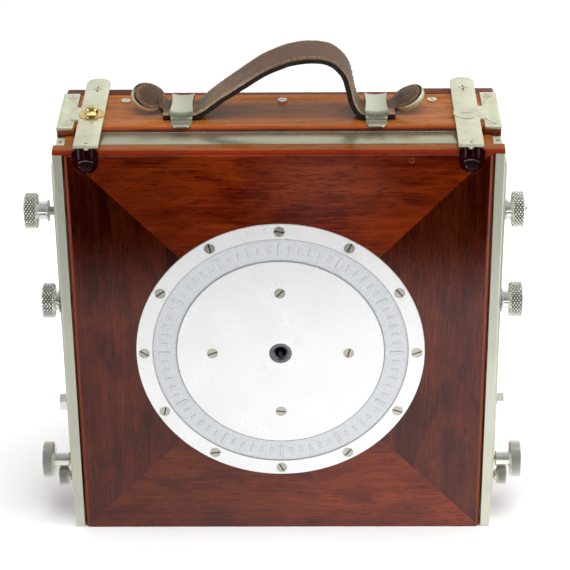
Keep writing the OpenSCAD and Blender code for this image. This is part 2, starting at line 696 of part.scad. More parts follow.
bed_rail_top();
bed_rail_bottom();
bed_stile_left();
bed_stile_right();
side_rail_left();
side_rail_right();
tripod_ring();
tripod_disc();
tripod_bush();
ring_screws();
disc_screws();
bed_hinge_leaves();
track_guides();
focus_bearings();
corner_brackets();
track_plate();
standard_bracket();
focus_shaft();
focus_knob_left();
focus_knob_right();
track_lock_knob_left();
track_lock_knob_right();
standard_frame();
front_board();
panel_guides();
upright_left();
upright_right();
clamp_studs();
upright_nuts();
rise_knob_left();
rise_knob_right();
tilt_knob_left();
tilt_knob_right();
rise_panel();
lens_board();
lens_board_clip();
lens_board_catch();
lens_barrel();
lens_elements();
aperture_ring();
box_top();
box_bottom();
box_side_left();
box_side_right();
box_sill();
hinge_leaf_and_pins();
latch_plates();
latch_finger_left();
latch_finger_right();
back_catch_left();
back_catch_right();
latch_stud_left();
box_screws();
handle_loops();
handle_strap();
bellows();
spring_back_frame();
ground_glass_frame();
ground_glass();
bow_springs();
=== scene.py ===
import bpy, bmesh, math, json, random
from mathutils import Vector, Matrix, noise


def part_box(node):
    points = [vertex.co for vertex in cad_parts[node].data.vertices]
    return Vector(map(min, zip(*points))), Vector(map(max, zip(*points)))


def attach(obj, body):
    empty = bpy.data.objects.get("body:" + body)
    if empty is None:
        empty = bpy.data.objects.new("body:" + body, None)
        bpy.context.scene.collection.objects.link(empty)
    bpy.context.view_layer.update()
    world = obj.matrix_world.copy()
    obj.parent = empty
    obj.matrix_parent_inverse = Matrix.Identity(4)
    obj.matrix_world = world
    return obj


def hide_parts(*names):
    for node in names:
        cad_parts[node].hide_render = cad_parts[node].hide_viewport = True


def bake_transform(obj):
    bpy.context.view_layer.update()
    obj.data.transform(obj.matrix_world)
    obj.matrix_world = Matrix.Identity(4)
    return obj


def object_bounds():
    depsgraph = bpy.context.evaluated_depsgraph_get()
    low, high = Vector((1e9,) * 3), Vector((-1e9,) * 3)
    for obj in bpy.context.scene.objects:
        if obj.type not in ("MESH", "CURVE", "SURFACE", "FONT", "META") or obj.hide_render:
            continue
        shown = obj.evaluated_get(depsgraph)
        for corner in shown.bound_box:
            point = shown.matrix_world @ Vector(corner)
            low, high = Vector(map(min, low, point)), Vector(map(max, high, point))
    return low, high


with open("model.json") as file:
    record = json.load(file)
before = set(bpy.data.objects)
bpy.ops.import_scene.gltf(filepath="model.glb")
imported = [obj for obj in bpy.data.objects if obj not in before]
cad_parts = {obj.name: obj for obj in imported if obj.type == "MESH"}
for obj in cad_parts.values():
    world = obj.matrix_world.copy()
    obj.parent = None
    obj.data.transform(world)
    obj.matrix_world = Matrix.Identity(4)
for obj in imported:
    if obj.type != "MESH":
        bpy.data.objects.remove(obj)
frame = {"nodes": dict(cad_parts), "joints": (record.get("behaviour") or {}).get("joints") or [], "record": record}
CAD_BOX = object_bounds()
NODES = frame["nodes"]
BODY = {n: b for b, ns in frame["record"]["behaviour"]["bodies"].items() for n in ns}
MM = 0.001
random.seed(7)


def bx(n):
    lo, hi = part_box(n)
    return lo, hi


def mid(n):
    lo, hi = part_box(n)
    return (lo + hi) / 2


# ------------------------------------------------------------------ node helpers
class T:
    """Small wrapper round a material's node tree."""

    def __init__(self, name):
        self.m = bpy.data.materials.new(name)
        self.m.use_nodes = True
        self.t = self.m.node_tree
        self.t.nodes.clear()
        self.out = self.t.nodes.new("ShaderNodeOutputMaterial")
        self.p = self.t.nodes.new("ShaderNodeBsdfPrincipled")
        self.t.links.new(self.p.outputs[0], self.out.inputs[0])

    def n(self, kind, **kw):
        node = self.t.nodes.new("ShaderNode" + kind)
        for k, v in kw.items():
            if k == "ins":
                for i, val in v.items():
                    s = node.inputs[i]
                    if isinstance(val, bpy.types.NodeSocket):
                        self.t.links.new(val, s)
                    else:
                        s.default_value = val
            else:
                setattr(node, k, v)
        return node

    def link(self, a, b):
        self.t.links.new(a, b)

    def set(self, **kw):
        for k, v in kw.items():
            s = self.p.inputs[k.replace("_", " ")]
            if isinstance(v, bpy.types.NodeSocket):
                self.t.links.new(v, s)
            else:
                s.default_value = v

    def coords(self, scale=(1, 1, 1), loc=(0, 0, 0), rot=(0, 0, 0)):
        tc = self.n("TexCoord")
        mp = self.n("Mapping", ins={"Vector": tc.outputs["Object"], "Scale": scale, "Location": loc, "Rotation": rot})
        return mp.outputs[0]

    def noise(self, vec, scale=1.0, detail=4.0, rough=0.5, dist=0.0):
        return self.n("TexNoise", ins={"Vector": vec, "Scale": scale, "Detail": detail, "Roughness": rough, "Distortion": dist}).outputs[0]

    def ramp(self, fac, stops, interp="LINEAR"):
        r = self.n("ValToRGB", ins={"Fac": fac})
        r.color_ramp.interpolation = interp
        el = r.color_ramp.elements
        while len(el) < len(stops):
            el.new(0.5)
        for e, (p, c) in zip(el, stops):
            e.position = p
            e.color = (c, c, c, 1) if isinstance(c, (int, float)) else tuple(c) + (1,)
        return r.outputs[0]

    def mix(self, fac, a, b, mode="MIX"):
        m = self.n("MixRGB", blend_type=mode)
        for i, v in ((0, fac), (1, a), (2, b)):
            if isinstance(v, bpy.types.NodeSocket):
                self.t.links.new(v, m.inputs[i])
            elif i == 0:
                m.inputs[i].default_value = v
            else:
                m.inputs[i].default_value = tuple(v) + (1,) if len(v) == 3 else v
        return m.outputs[0]

    def math(self, op, a, b=0.0, c=0.0, clamp=False):
        m = self.n("Math", operation=op)
        m.use_clamp = clamp
        for i, v in ((0, a), (1, b), (2, c)):
            if isinstance(v, bpy.types.NodeSocket):
                self.t.links.new(v, m.inputs[i])
            else:
                m.inputs[i].default_value = v
        return m.outputs[0]

    def vmath(self, op, a, b=(0, 0, 0)):
        m = self.n("VectorMath", operation=op)
        for i, v in ((0, a), (1, b)):
            if isinstance(v, bpy.types.NodeSocket):
                self.t.links.new(v, m.inputs[i])
            else:
                m.inputs[i].default_value = v
        return m

    def bump(self, h, strength=0.3, dist=0.0005, normal=None):
        ins = {"Height": h, "Strength": strength, "Distance": dist}
        if normal is not None:
            ins["Normal"] = normal
        return self.n("Bump", ins=ins).outputs[0]

    def sep(self, v):
        return self.n("SeparateXYZ", ins={0: v}).outputs


# ------------------------------------------------------------------ materials
def mahogany(name, axis, base, dark, light, seed=0.0, edge=None, pores=1.0, coat=1.0, croug=0.03, scoop_shade=False, figure=1.0, shade_z=None, shade_x=None, top=None):
    """Varnished mahogany. axis: 0 grain along X, 1 along Y, 2 along Z."""
    t = T(name)
    tc = t.n("TexCoord")
    warp = t.n("TexNoise", ins={"Vector": tc.outputs["Object"], "Scale": 7.0, "Detail": 2.0})
    wob = t.vmath("SCALE", warp.outputs["Color"]); wob.inputs["Scale"].default_value = 0.012
    co = t.vmath("ADD", tc.outputs["Object"], wob.outputs[0]).outputs[0]

    def stretch(along, cross, off=0.0):
        s = [cross, cross, cross]; s[axis] = along
        return t.n("Mapping", ins={"Vector": co, "Scale": tuple(s), "Location": (seed + off, seed * 1.7 + off, seed * 0.6)}).outputs[0]

    broad = t.noise(stretch(3.0, 22.0), 1.0, 5.0, 0.55, 0.3)
    streak = t.noise(stretch(9.0, 150.0, 3.1), 1.0, 4.0, 0.6)
    fine = t.noise(stretch(35.0, 700.0, 9.2), 1.0, 2.0, 0.6)
    ribbon = t.noise(stretch(22.0, 46.0, 5.5), 1.0, 3.0, 0.5, 0.8)
    pore = t.noise(stretch(120.0, 1500.0, 1.3), 1.0, 1.5, 0.5)
    porem = t.ramp(pore, [(0.34, 1.0), (0.42, 0.0)])
    porem = t.math("MULTIPLY", porem, pores)
    c = t.mix(t.math("MULTIPLY", t.ramp(broad, [(0.36, 0.0), (0.62, 1.0)]), 1.0), dark, base)
    c = t.mix(t.math("MULTIPLY", t.ramp(streak, [(0.46, 0.0), (0.70, 1.0)]), 0.60 * figure), c, light)
    c = t.mix(t.math("MULTIPLY", t.ramp(streak, [(0.26, 1.0), (0.45, 0.0)]), 0.70 * figure), c, dark)
    c = t.mix(t.math("MULTIPLY", t.ramp(fine, [(0.40, 1.0), (0.58, 0.0)]), 0.68), c, dark)
    c = t.mix(t.math("MULTIPLY", t.ramp(ribbon, [(0.40, 0.0), (0.66, 1.0)]), 0.45 * figure), c, light)
    c = t.mix(t.math("MULTIPLY", t.ramp(ribbon, [(0.30, 1.0), (0.46, 0.0)]), 0.35 * figure), c, dark)
    c = t.mix(t.math("MULTIPLY", porem, 0.62), c, tuple(x * 0.22 for x in dark))
    pos = t.sep(tc.outputs["Object"])
    # painted light and shade: shade_z darkens the stiles towards their top; shade_x darkens the rails towards the left
    # and brightens them towards the right
    for k_, rng in ((2, shade_z), (0, shade_x)):
        if rng:
            f_ = t.n("MapRange", interpolation_type="SMOOTHSTEP", ins={"Value": pos[k_], "From Min": rng[0], "From Max": rng[1], "To Min": rng[2], "To Max": rng[3]}).outputs[0]
            sc_ = t.vmath("SCALE", c); t.link(f_, sc_.inputs["Scale"]); c = sc_.outputs[0]
    if edge is not None:
        # where the boards round over, a brighter and redder tone: partly thinner, worn stain and partly painted light
        # on the curved edges
        nrm = t.sep(tc.outputs["Normal"])
        ay = t.math("ABSOLUTE", nrm[1]); ax = t.math("ABSOLUTE", nrm[0]); az = t.math("ABSOLUTE", nrm[2])
        mx = t.math("MAXIMUM", t.math("MAXIMUM", ax, ay), az)
        m = t.ramp(mx, [(0.86, 1.0), (0.985, 0.0)])
        worn = t.ramp(t.noise(tc.outputs["Object"], 38.0, 5.0, 0.6), [(0.3, 0.55), (0.6, 1.0)])
        c = t.mix(t.math("MULTIPLY", m, t.math("MULTIPLY", worn, 0.85)), c, edge)
    # painted shade: the inside of the finger scoops is coloured nearly black
    if scoop_shade:
        sp = t.sep(tc.outputs["Object"])
        dx = t.math("SUBTRACT", t.math("ABSOLUTE", sp[0]), scoop_shade[0]); dy = t.math("SUBTRACT", sp[1], scoop_shade[1])
        rr = t.math("SQRT", t.math("ADD", t.math("MULTIPLY", dx, dx), t.math("MULTIPLY", dy, dy)))
        m = t.math("MULTIPLY", t.math("LESS_THAN", rr, 0.0096), t.math("GREATER_THAN", sp[2], scoop_shade[2]))
        m = t.math("MULTIPLY", m, t.math("GREATER_THAN", sp[1], scoop_shade[1] + 0.0022))
        c = t.mix(m, c, (0.020, 0.002, 0.0022))
    dust = t.noise(tc.outputs["Object"], 55.0, 5.0, 0.6)
    rough = t.ramp(dust, [(0.35, 0.5), (0.7, 0.62)])
    t.set(Base_Color=c, Roughness=rough)
    t.p.inputs["Specular IOR Level"].default_value = 0.0
    t.p.inputs["Coat Weight"].default_value = coat
    if top is not None:
        # upward faces: the varnish is thinner, and the wood is painted lighter and browner there, painted light for the
        # top lamp and the reflected backdrop
        nz = t.sep(tc.outputs["Normal"])[2]
        tm = t.ramp(nz, [(0.90, 0.0), (0.985, 1.0)])
        t.link(t.math("SUBTRACT", coat, t.math("MULTIPLY", tm, coat * 0.68)), t.p.inputs["Coat Weight"])
        top_lit_col = t.mix(t.math("MULTIPLY", t.ramp(streak, [(0.40, 0.0), (0.66, 1.0)]), 0.6), tuple(x * 0.72 for x in top), tuple(min(1, x * 1.35) for x in top))
        top_lit_col = t.mix(t.math("MULTIPLY", porem, 0.6), top_lit_col, dark)
        t.set(Base_Color=t.mix(tm, c, top_lit_col))
    t.p.inputs["Coat IOR"].default_value = 1.45
    smear = t.noise(t.n("Mapping", ins={"Vector": tc.outputs["Object"], "Scale": (9.0, 9.0, 30.0), "Rotation": (0, 0.5, 0)}).outputs[0], 1.0, 6.0, 0.65)
    scr = t.n("TexVoronoi", feature="DISTANCE_TO_EDGE", ins={"Vector": t.n("Mapping", ins={"Vector": tc.outputs["Object"], "Scale": (34, 20, 12), "Rotation": (0.3, 0.7, 0.2)}).outputs[0], "Scale": 1.0}).outputs[0]
    scm = t.math("MULTIPLY", t.ramp(scr, [(0.0, 1.0), (0.006, 0.0)]), t.ramp(smear, [(0.5, 0.0), (0.6, 1.0)]))
    cr = t.math("ADD", t.ramp(smear, [(0.40, croug), (0.78, croug + 0.07)]), t.math("MULTIPLY", scm, 0.2))
    t.link(cr, t.p.inputs["Coat Roughness"])
    ripple = t.noise(stretch(20.0, 70.0, 2.2), 1.0, 3.0, 0.5)
    b1 = t.bump(porem, 0.35, -0.00012)
    b2 = t.bump(t.math("ADD", ripple, t.math("MULTIPLY", t.math("ADD", porem, scm), -0.10)), 0.16, 0.0005)
    t.link(b1, t.p.inputs["Normal"]); t.link(b2, t.p.inputs["Coat Normal"])
    return t.m


def metal(name, col, rough=(0.22, 0.4), brush=None, tarnish=(0.5, 0.48, 0.4), tarn=0.25, bump=0.12, spec=1.0, smudge=30.0, coarse=0.0, metallic=1.0, groove=False, lit_line_y=None, plugs=None, slot_shade_y=None):
    """Worked metal: brushed along an axis (0, 1, 2) or plain, with smudges, tarnish and fine scratches."""
    t = T(name)
    tc = t.n("TexCoord")
    big = t.noise(tc.outputs["Object"], smudge, 6.0, 0.65)
    spots = t.noise(tc.outputs["Object"], 240.0, 4.0, 0.7)
    c = t.mix(t.math("MULTIPLY", t.ramp(big, [(0.42, 0.0), (0.72, 1.0)]), tarn), col, tarnish)
    c = t.mix(t.math("MULTIPLY", t.ramp(spots, [(0.62, 0.0), (0.78, 1.0)]), tarn * 0.9), c, tuple(x * 0.6 for x in tarnish))
    r = t.ramp(big, [(0.3, rough[0]), (0.75, rough[1])])
    if brush is None:
        h = t.noise(tc.outputs["Object"], 900.0, 3.0, 0.6)
    else:
        s = [1600.0, 1600.0, 1600.0]; s[brush] = 28.0
        h = t.noise(t.n("Mapping", ins={"Vector": tc.outputs["Object"], "Scale": tuple(s)}).outputs[0], 1.0, 3.0, 0.7)
        r = t.math("ADD", r, t.math("MULTIPLY", t.math("SUBTRACT", h, 0.5), 0.22), clamp=True)
        c = t.mix(t.math("MULTIPLY", t.ramp(h, [(0.3, 1.0), (0.6, 0.0)]), 0.16), c, tuple(x * 0.72 for x in col))
    scr = t.n("TexVoronoi", feature="DISTANCE_TO_EDGE", ins={"Vector": t.n("Mapping", ins={"Vector": tc.outputs["Object"], "Scale": (300, 90, 120), "Rotation": (0.3, 0.6, 0.4)}).outputs[0], "Scale": 1.0}).outputs[0]
    scm = t.ramp(scr, [(0.0, 1.0), (0.02, 0.0)])
    hh = t.math("SUBTRACT", h, t.math("MULTIPLY", scm, 0.3))
    nrm = t.bump(hh, bump, 0.00012)
    if coarse:
        nrm = t.bump(t.noise(tc.outputs["Object"], 620.0, 5.0, 0.7), coarse, 0.0005, nrm)
    # painted shade: where the groove attribute is high, as in the knurl valleys, the metal is coloured nearly black
    if groove:
        g = t.ramp(t.n("Attribute", attribute_name="groove").outputs["Fac"], [(0.52, 0.0), (0.86, 1.0)])
        c = t.mix(t.math("MULTIPLY", g, 0.80), c, (0.09, 0.09, 0.085))
    mt = metallic
    if lit_line_y:
        # a painted highlight: the rear edge of the bar is coloured near white
        py_ = t.sep(tc.outputs["Object"])[1]
        lit_line_mask = t.math("GREATER_THAN", py_, lit_line_y)
        c = t.mix(lit_line_mask, c, (0.93, 0.93, 0.86))
    if slot_shade_y is not None:
        # painted shade: the bottoms of the slots are coloured nearly black
        c = t.mix(t.math("GREATER_THAN", t.sep(tc.outputs["Object"])[1], slot_shade_y), c, (0.035, 0.03, 0.025))
    if plugs:
        pp = t.sep(tc.outputs["Object"])
        for (qx, qz, qr) in plugs:
            ax_ = t.math("SUBTRACT", pp[0], qx); az_ = t.math("SUBTRACT", pp[2], qz)
            dd = t.math("SQRT", t.math("ADD", t.math("MULTIPLY", ax_, ax_), t.math("MULTIPLY", az_, az_)))
            c = t.mix(t.math("LESS_THAN", dd, qr), c, (0.95, 0.955, 0.95))
    t.set(Base_Color=c, Metallic=mt, Roughness=r, Normal=nrm)
    return t.m


def plate_metal(name, centre, r_in=0.0736, r_out=0.0899):
    """Turned aluminium with concentric tool marks; the band between two radii is as cast."""
    t = T(name)
    tc = t.n("TexCoord")
    v = t.vmath("SUBTRACT", tc.outputs["Object"], tuple(centre)).outputs[0]
    s = t.sep(v)
    rad = t.math("SQRT", t.math("ADD", t.math("MULTIPLY", s[0], s[0]), t.math("MULTIPLY", s[2], s[2])))
    ang = t.math("ARCTAN2", s[2], s[0])
    rings = t.n("TexNoise", noise_dimensions="1D", ins={"W": t.math("MULTIPLY", rad, 1300.0), "Scale": 1.0, "Detail": 3.0}).outputs[0]
    rings2 = t.n("TexNoise", noise_dimensions="1D", ins={"W": t.math("MULTIPLY", rad, 260.0), "Scale": 1.0, "Detail": 3.0}).outputs[0]
    cast = t.noise(tc.outputs["Object"], 1100.0, 4.0, 0.6)
    cast2 = t.noise(tc.outputs["Object"], 2300.0, 3.0, 0.6)
    scuff = t.noise(tc.outputs["Object"], 34.0, 3.0, 0.55)
    band = t.math("MULTIPLY", t.math("GREATER_THAN", rad, r_in), t.math("LESS_THAN", rad, r_out))
    # a sine of twice the angle round the centre; it is not used
    fan = t.math("MULTIPLY", t.math("ADD", t.math("SINE", t.math("MULTIPLY", ang, 2.0)), 1.0), 0.5)
    mach = t.mix(t.math("MULTIPLY", t.ramp(rings2, [(0.3, 0.0), (0.7, 1.0)]), 0.25), (0.995, 0.995, 0.995), (0.945, 0.95, 0.95))
    mach = t.mix(t.math("MULTIPLY", t.ramp(scuff, [(0.40, 0.0), (0.80, 1.0)]), 0.10), mach, (0.80, 0.81, 0.82))
    castc = t.mix(t.ramp(cast, [(0.35, 1.0), (0.62, 0.0)]), (0.84, 0.865, 0.88), (0.70, 0.725, 0.74))
    c = t.mix(band, mach, castc)
    # painted shade: dark lines along the seams beside the band
    def near(rr, w_):
        return t.n("MapRange", ins={"Value": t.math("ABSOLUTE", t.math("SUBTRACT", rad, rr)), "From Min": 0.0, "From Max": w_, "To Min": 1.0, "To Max": 0.0}).outputs[0]

    seam_shade = t.math("ADD", near(r_in - 0.0003, 0.0007), t.math("MULTIPLY", near(r_out + 0.0001, 0.0007), 0.7), clamp=True)
    c = t.mix(t.math("MULTIPLY", seam_shade, 0.85), c, (0.10, 0.10, 0.10))
    r = t.mix(band, t.mix(t.ramp(scuff, [(0.3, 0.0), (0.7, 1.0)]), (0.24,) * 3, (0.38,) * 3), (0.52,) * 3)
    h = t.mix(band, t.mix(0.5, rings, rings2), t.mix(0.35, cast, cast2))
    st = t.n("Bump", ins={"Height": h, "Strength": t.math("ADD", 0.05, t.math("MULTIPLY", band, 0.22)), "Distance": 0.0003}).outputs[0]
    # painted shade at the foot of the raised ticks, from the groove attribute
    g = t.n("Attribute", attribute_name="groove").outputs["Fac"]
    c = t.mix(t.math("MULTIPLY", g, 0.75, clamp=True), c, (0.22, 0.225, 0.23))
    t.set(Base_Color=c, Metallic=0.5, Roughness=r, Normal=st)
    t.p.inputs["Specular IOR Level"].default_value = 0.3
    return t.m


def leather(name, base, dark, worn, edge_attr=True, rough=(0.42, 0.62), crest=None):
    """Worn harness leather; the vertex attribute 'wear' (0 to 1) bares the tan under the finish."""
    t = T(name)
    tc = t.n("TexCoord")
    o = tc.outputs["Object"]
    big = t.noise(o, 45.0, 6.0, 0.65, 0.5)
    mid_ = t.noise(o, 190.0, 5.0, 0.6)
    v = t.n("TexVoronoi", feature="DISTANCE_TO_EDGE", ins={"Vector": t.vmath("ADD", o, t.vmath("SCALE", t.n("TexNoise", ins={"Vector": o, "Scale": 300.0}).outputs["Color"]).outputs[0]).outputs[0], "Scale": 850.0}).outputs[0]
    creases = t.n("TexVoronoi", feature="DISTANCE_TO_EDGE", ins={"Vector": t.n("Mapping", ins={"Vector": o, "Scale": (180, 45, 160)}).outputs[0], "Scale": 1.0, "Randomness": 1.0}).outputs[0]
    crm = t.ramp(creases, [(0.0, 1.0), (0.07, 0.0)])
    c = t.mix(t.ramp(big, [(0.35, 0.0), (0.7, 1.0)]), dark, base)
    c = t.mix(t.math("MULTIPLY", t.ramp(mid_, [(0.5, 0.0), (0.75, 1.0)]), 0.4), c, worn)
    c = t.mix(t.math("MULTIPLY", t.ramp(v, [(0.0, 1.0), (0.22, 0.0)]), 0.45), c, dark)
    c = t.mix(t.math("MULTIPLY", crm, 0.35), c, dark)
    at = t.n("Attribute", attribute_name="wear").outputs["Fac"]
    wn = t.math("MULTIPLY", at, t.ramp(t.noise(o, 420.0, 5.0, 0.7), [(0.35, 0.15), (0.62, 1.0)]), clamp=True)
    c = t.mix(wn, c, worn)
    if crest:
        pz_ = t.sep(o)[2]
        cm = t.n("MapRange", interpolation_type="SMOOTHSTEP", ins={"Value": pz_, "From Min": crest[0], "From Max": crest[1], "To Min": 0.0, "To Max": 0.78}).outputs[0]
        c = t.mix(cm, c, (0.070, 0.030, 0.012))
    ed = t.n("Attribute", attribute_name="edge").outputs["Fac"]
    fray = t.math("MULTIPLY", t.ramp(t.noise(o, 700.0, 4.0, 0.7), [(0.58, 0.0), (0.70, 1.0)]), 0.5)
    edc = t.mix(fray, (0.010, 0.008, 0.007), (0.20, 0.12, 0.06))
    c = t.mix(t.ramp(ed, [(0.30, 0.0), (0.50, 1.0)]), c, edc)
    h = t.math("SUBTRACT", t.math("MULTIPLY", t.ramp(v, [(0.0, 0.0), (0.3, 1.0)]), 0.6), t.math("MULTIPLY", crm, 0.8))
    h = t.math("ADD", h, t.math("MULTIPLY", mid_, 0.8))
    r = t.ramp(big, [(0.3, rough[0]), (0.75, rough[1])])
    t.set(Base_Color=c, Roughness=r, Normal=t.bump(h, 0.5, 0.0003))
    t.p.inputs["Specular IOR Level"].default_value = 0.45
    t.p.inputs["Sheen Weight"].default_value = 0.05
    t.p.inputs["Sheen Roughness"].default_value = 0.4
    return t.m


def plain(name, col, rough, spec=0.5, h=(600.0, 0.15, 0.0002), metallic=0.0, var=0.25):
    t = T(name)
    tc = t.n("TexCoord")
    a = t.noise(tc.outputs["Object"], 70.0, 6.0, 0.65)
    c = t.mix(t.math("MULTIPLY", t.ramp(a, [(0.35, 0.0), (0.7, 1.0)]), var), col, tuple(x * 0.55 for x in col))
    r = t.ramp(a, [(0.3, rough * 0.85), (0.7, min(1.0, rough * 1.2))])
    t.set(Base_Color=c, Roughness=r, Metallic=metallic, Normal=t.bump(t.noise(tc.outputs["Object"], h[0], 5.0, 0.65), h[1], h[2]))
    t.p.inputs["Specular IOR Level"].default_value = spec
    return t.m


def bellows_mat(name):
    t = T(name)
    tc = t.n("TexCoord")
    o = tc.outputs["Object"]
    v = t.n("TexVoronoi", feature="DISTANCE_TO_EDGE", ins={"Vector": o, "Scale": 700.0}).outputs[0]
    a = t.noise(o, 60.0, 6.0, 0.65)
    wear = t.n("Attribute", attribute_name="wear").outputs["Fac"]
    c = t.mix(t.ramp(a, [(0.35, 0.0), (0.7, 1.0)]), (0.012, 0.011, 0.011), (0.024, 0.022, 0.021))
    wm = t.math("MULTIPLY", wear, t.ramp(t.noise(o, 300.0, 5.0, 0.7), [(0.42, 0.0), (0.65, 1.0)]), clamp=True)
    c = t.mix(wm, c, (0.085, 0.075, 0.068))
    t.set(Base_Color=c, Roughness=t.ramp(a, [(0.3, 0.48), (0.7, 0.66)]), Normal=t.bump(t.ramp(v, [(0.0, 0.0), (0.25, 1.0)]), 0.4, 0.0003))
    return t.m


def glass_mat(name, rough=0.02, tint=(0.97, 1.0, 1.0), bump=0.0):
    t = T(name)
    tc = t.n("TexCoord")
    t.set(Base_Color=tint + (1,) if len(tint) == 3 else tint, Roughness=rough)
    t.p.inputs["Transmission Weight"].default_value = 1.0
    t.p.inputs["IOR"].default_value = 1.5
    t.p.inputs["Coat Weight"].default_value = 0.3
    if bump:
        g = t.noise(tc.outputs["Object"], 2600.0, 3.0, 0.6)
        t.link(t.bump(g, bump, 0.0002), t.p.inputs["Normal"])
        t.set(Roughness=t.ramp(t.noise(tc.outputs["Object"], 40.0, 5.0, 0.6), [(0.3, rough * 0.9), (0.7, min(1.0, rough * 1.15))]))
    else:
        t.set(Roughness=t.ramp(t.noise(tc.outputs["Object"], 90.0, 5.0, 0.6), [(0.4, rough), (0.75, rough + 0.05)]))
    return t.m


# colour for rounded board edges: partly worn stain, partly painted light
EDGE_RED_WORN_AND_LIT = (0.20, 0.012, 0.0005)
YF = bx("bed_rail_top")[0].y
PZ = mid("tripod_disc").z
# centre of the finger scoops, where painted shade darkens the wood
SCOOP_SHADE_AT = (0.130, YF - 0.002, bx("bed_rail_top")[1].z - 0.020)
M = {
    "wood_x": mahogany("mahogany_rail_x", 0, (0.124, 0.0100, 0.0011), (0.044, 0.0026, 0.0006), (0.225, 0.031, 0.005), 0.3, edge=EDGE_RED_WORN_AND_LIT, scoop_shade=SCOOP_SHADE_AT, top=(0.235, 0.070, 0.014), shade_x=(-0.11, -0.03, 0.74, 1.08)),
    "wood_x2": mahogany("mahogany_rail_x2", 0, (0.128, 0.0150, 0.0026), (0.058, 0.0056, 0.0013), (0.215, 0.036, 0.008), 7.7, edge=(0.24, 0.045, 0.006), shade_x=(-0.06, 0.11, 0.95, 1.75)),
    "wood_z": mahogany("mahogany_stile_z", 2, (0.082, 0.0080, 0.0016), (0.032, 0.0025, 0.0008), (0.150, 0.022, 0.005), 3.9, edge=(0.30, 0.040, 0.003), scoop_shade=SCOOP_SHADE_AT, shade_z=(0.165, 0.255, 1.0, 0.36)),
    "wood_z2": mahogany("mahogany_stile_z2", 2, (0.104, 0.0112, 0.0022), (0.042, 0.0034, 0.0011), (0.176, 0.028, 0.006), 12.4, edge=(0.30, 0.040, 0.003), scoop_shade=SCOOP_SHADE_AT, shade_z=(0.165, 0.255, 1.0, 0.42)),
    "box_x": mahogany("mahogany_box_x", 0, (0.170, 0.034, 0.006), (0.085, 0.014, 0.003), (0.260, 0.066, 0.015), 5.1, edge=(0.36, 0.055, 0.006), croug=0.10, top=(0.31, 0.098, 0.020)),
    "box_z": mahogany("mahogany_box_z", 2, (0.170, 0.030, 0.006), (0.085, 0.013, 0.003), (0.250, 0.058, 0.014), 9.4, edge=(0.30, 0.06, 0.01), croug=0.08),
    "dark_x": mahogany("mahogany_dark_x", 0, (0.085, 0.014, 0.004), (0.040, 0.006, 0.002), (0.140, 0.028, 0.008), 2.2, edge=(0.15, 0.035, 0.012), croug=0.12, top=(0.11, 0.030, 0.012)),
    "dark_z": mahogany("mahogany_dark_z", 2, (0.085, 0.014, 0.004), (0.040, 0.006, 0.002), (0.140, 0.028, 0.008), 6.2, croug=0.12),
    "nickel_x": metal("nickel_silver_x", (0.72, 0.72, 0.58), (0.30, 0.44), brush=0, metallic=0.8),
    "nickel_y": metal("nickel_silver_y", (0.69, 0.69, 0.51), (0.28, 0.44), brush=1, tarn=0.42, tarnish=(0.47, 0.46, 0.32), bump=0.16, metallic=0.72, smudge=55.0),
    "nickel_z": metal("nickel_silver_z", (0.66, 0.67, 0.55), (0.32, 0.46), brush=2, tarn=0.3, metallic=0.72),
    "nickel_l": metal("nickel_loop", (0.56, 0.57, 0.43), (0.18, 0.30), brush=1, tarn=0.35, tarnish=(0.40, 0.39, 0.27), bump=0.05, metallic=0.85),
    "nickel_s": metal("nickel_screw", (0.70, 0.68, 0.54), (0.28, 0.42), tarn=0.35, tarnish=(0.42, 0.39, 0.30), bump=0.15, metallic=0.8),
    "band": metal("nickel_band", (0.44, 0.42, 0.29), (0.24, 0.36), brush=0, tarn=0.4, bump=0.06, metallic=0.85, smudge=14.0, lit_line_y=bx("standard_frame")[1].y - 0.0020),
    "knurl": metal("bright_nickel", (0.97, 0.975, 0.93), (0.12, 0.22), tarn=0.18, tarnish=(0.70, 0.69, 0.58), bump=0.05, metallic=0.78, groove=True),
    "steel": metal("screw_steel", (0.58, 0.56, 0.48), (0.20, 0.36), tarn=0.4, tarnish=(0.34, 0.31, 0.24), bump=0.2, metallic=0.85),
    "steel_r": metal("screw_steel_rim", (0.60, 0.58, 0.50), (0.18, 0.34), tarn=0.45, tarnish=(0.30, 0.27, 0.20), bump=0.25, metallic=0.85, slot_shade_y=bx("ring_screws")[0].y + 0.0003),
    "steel_d": metal("screw_steel_disc", (0.60, 0.58, 0.50), (0.18, 0.34), tarn=0.45, tarnish=(0.30, 0.27, 0.20), bump=0.25, metallic=0.85, slot_shade_y=bx("disc_screws")[0].y + 0.0003, plugs=((-0.0126, PZ - 0.012, 0.0034), (0.0120, PZ + 0.0096, 0.0034))),
    "dsteel": metal("bush_steel", (0.24, 0.25, 0.27), (0.28, 0.45), tarn=0.4, tarnish=(0.08, 0.08, 0.07), bump=0.15),
    "brass": metal("brass", (0.78, 0.60, 0.24), (0.14, 0.28), tarn=0.30, tarnish=(0.44, 0.32, 0.12), bump=0.06),
    "brass_dull": metal("brass_dull", (0.58, 0.44, 0.21), (0.28, 0.46), tarn=0.5, tarnish=(0.28, 0.21, 0.10), bump=0.12),
    "strap": leather("strap_leather", (0.205, 0.125, 0.070), (0.060, 0.029, 0.013), (0.50, 0.35, 0.21), crest=(bx("box_top")[1].z + 0.022, bx("box_top")[1].z + 0.042)),
    "tab": leather("tab_leather", (0.080, 0.036, 0.013), (0.020, 0.009, 0.004), (0.24, 0.12, 0.045), rough=(0.30, 0.48)),
    "bellows": bellows_mat("bellows_leather"),
    "lens_black": plain("lens_enamel", (0.018, 0.018, 0.019), 0.32, 0.5, (1400.0, 0.12, 0.0001)),
    "thread": plain("stitch_thread", (0.34, 0.23, 0.13), 0.8, 0.3, (2500.0, 0.5, 0.0002)),
    "glass": glass_mat("lens_glass", 0.01, (0.93, 0.97, 1.0)),
    "ground": glass_mat("ground_glass", 0.55, (0.93, 0.97, 0.96), bump=0.35),
}
PC = mid("tripod_disc")
M["plate"] = plate_metal("turned_plate", (0.0, 0.0, PC.z))

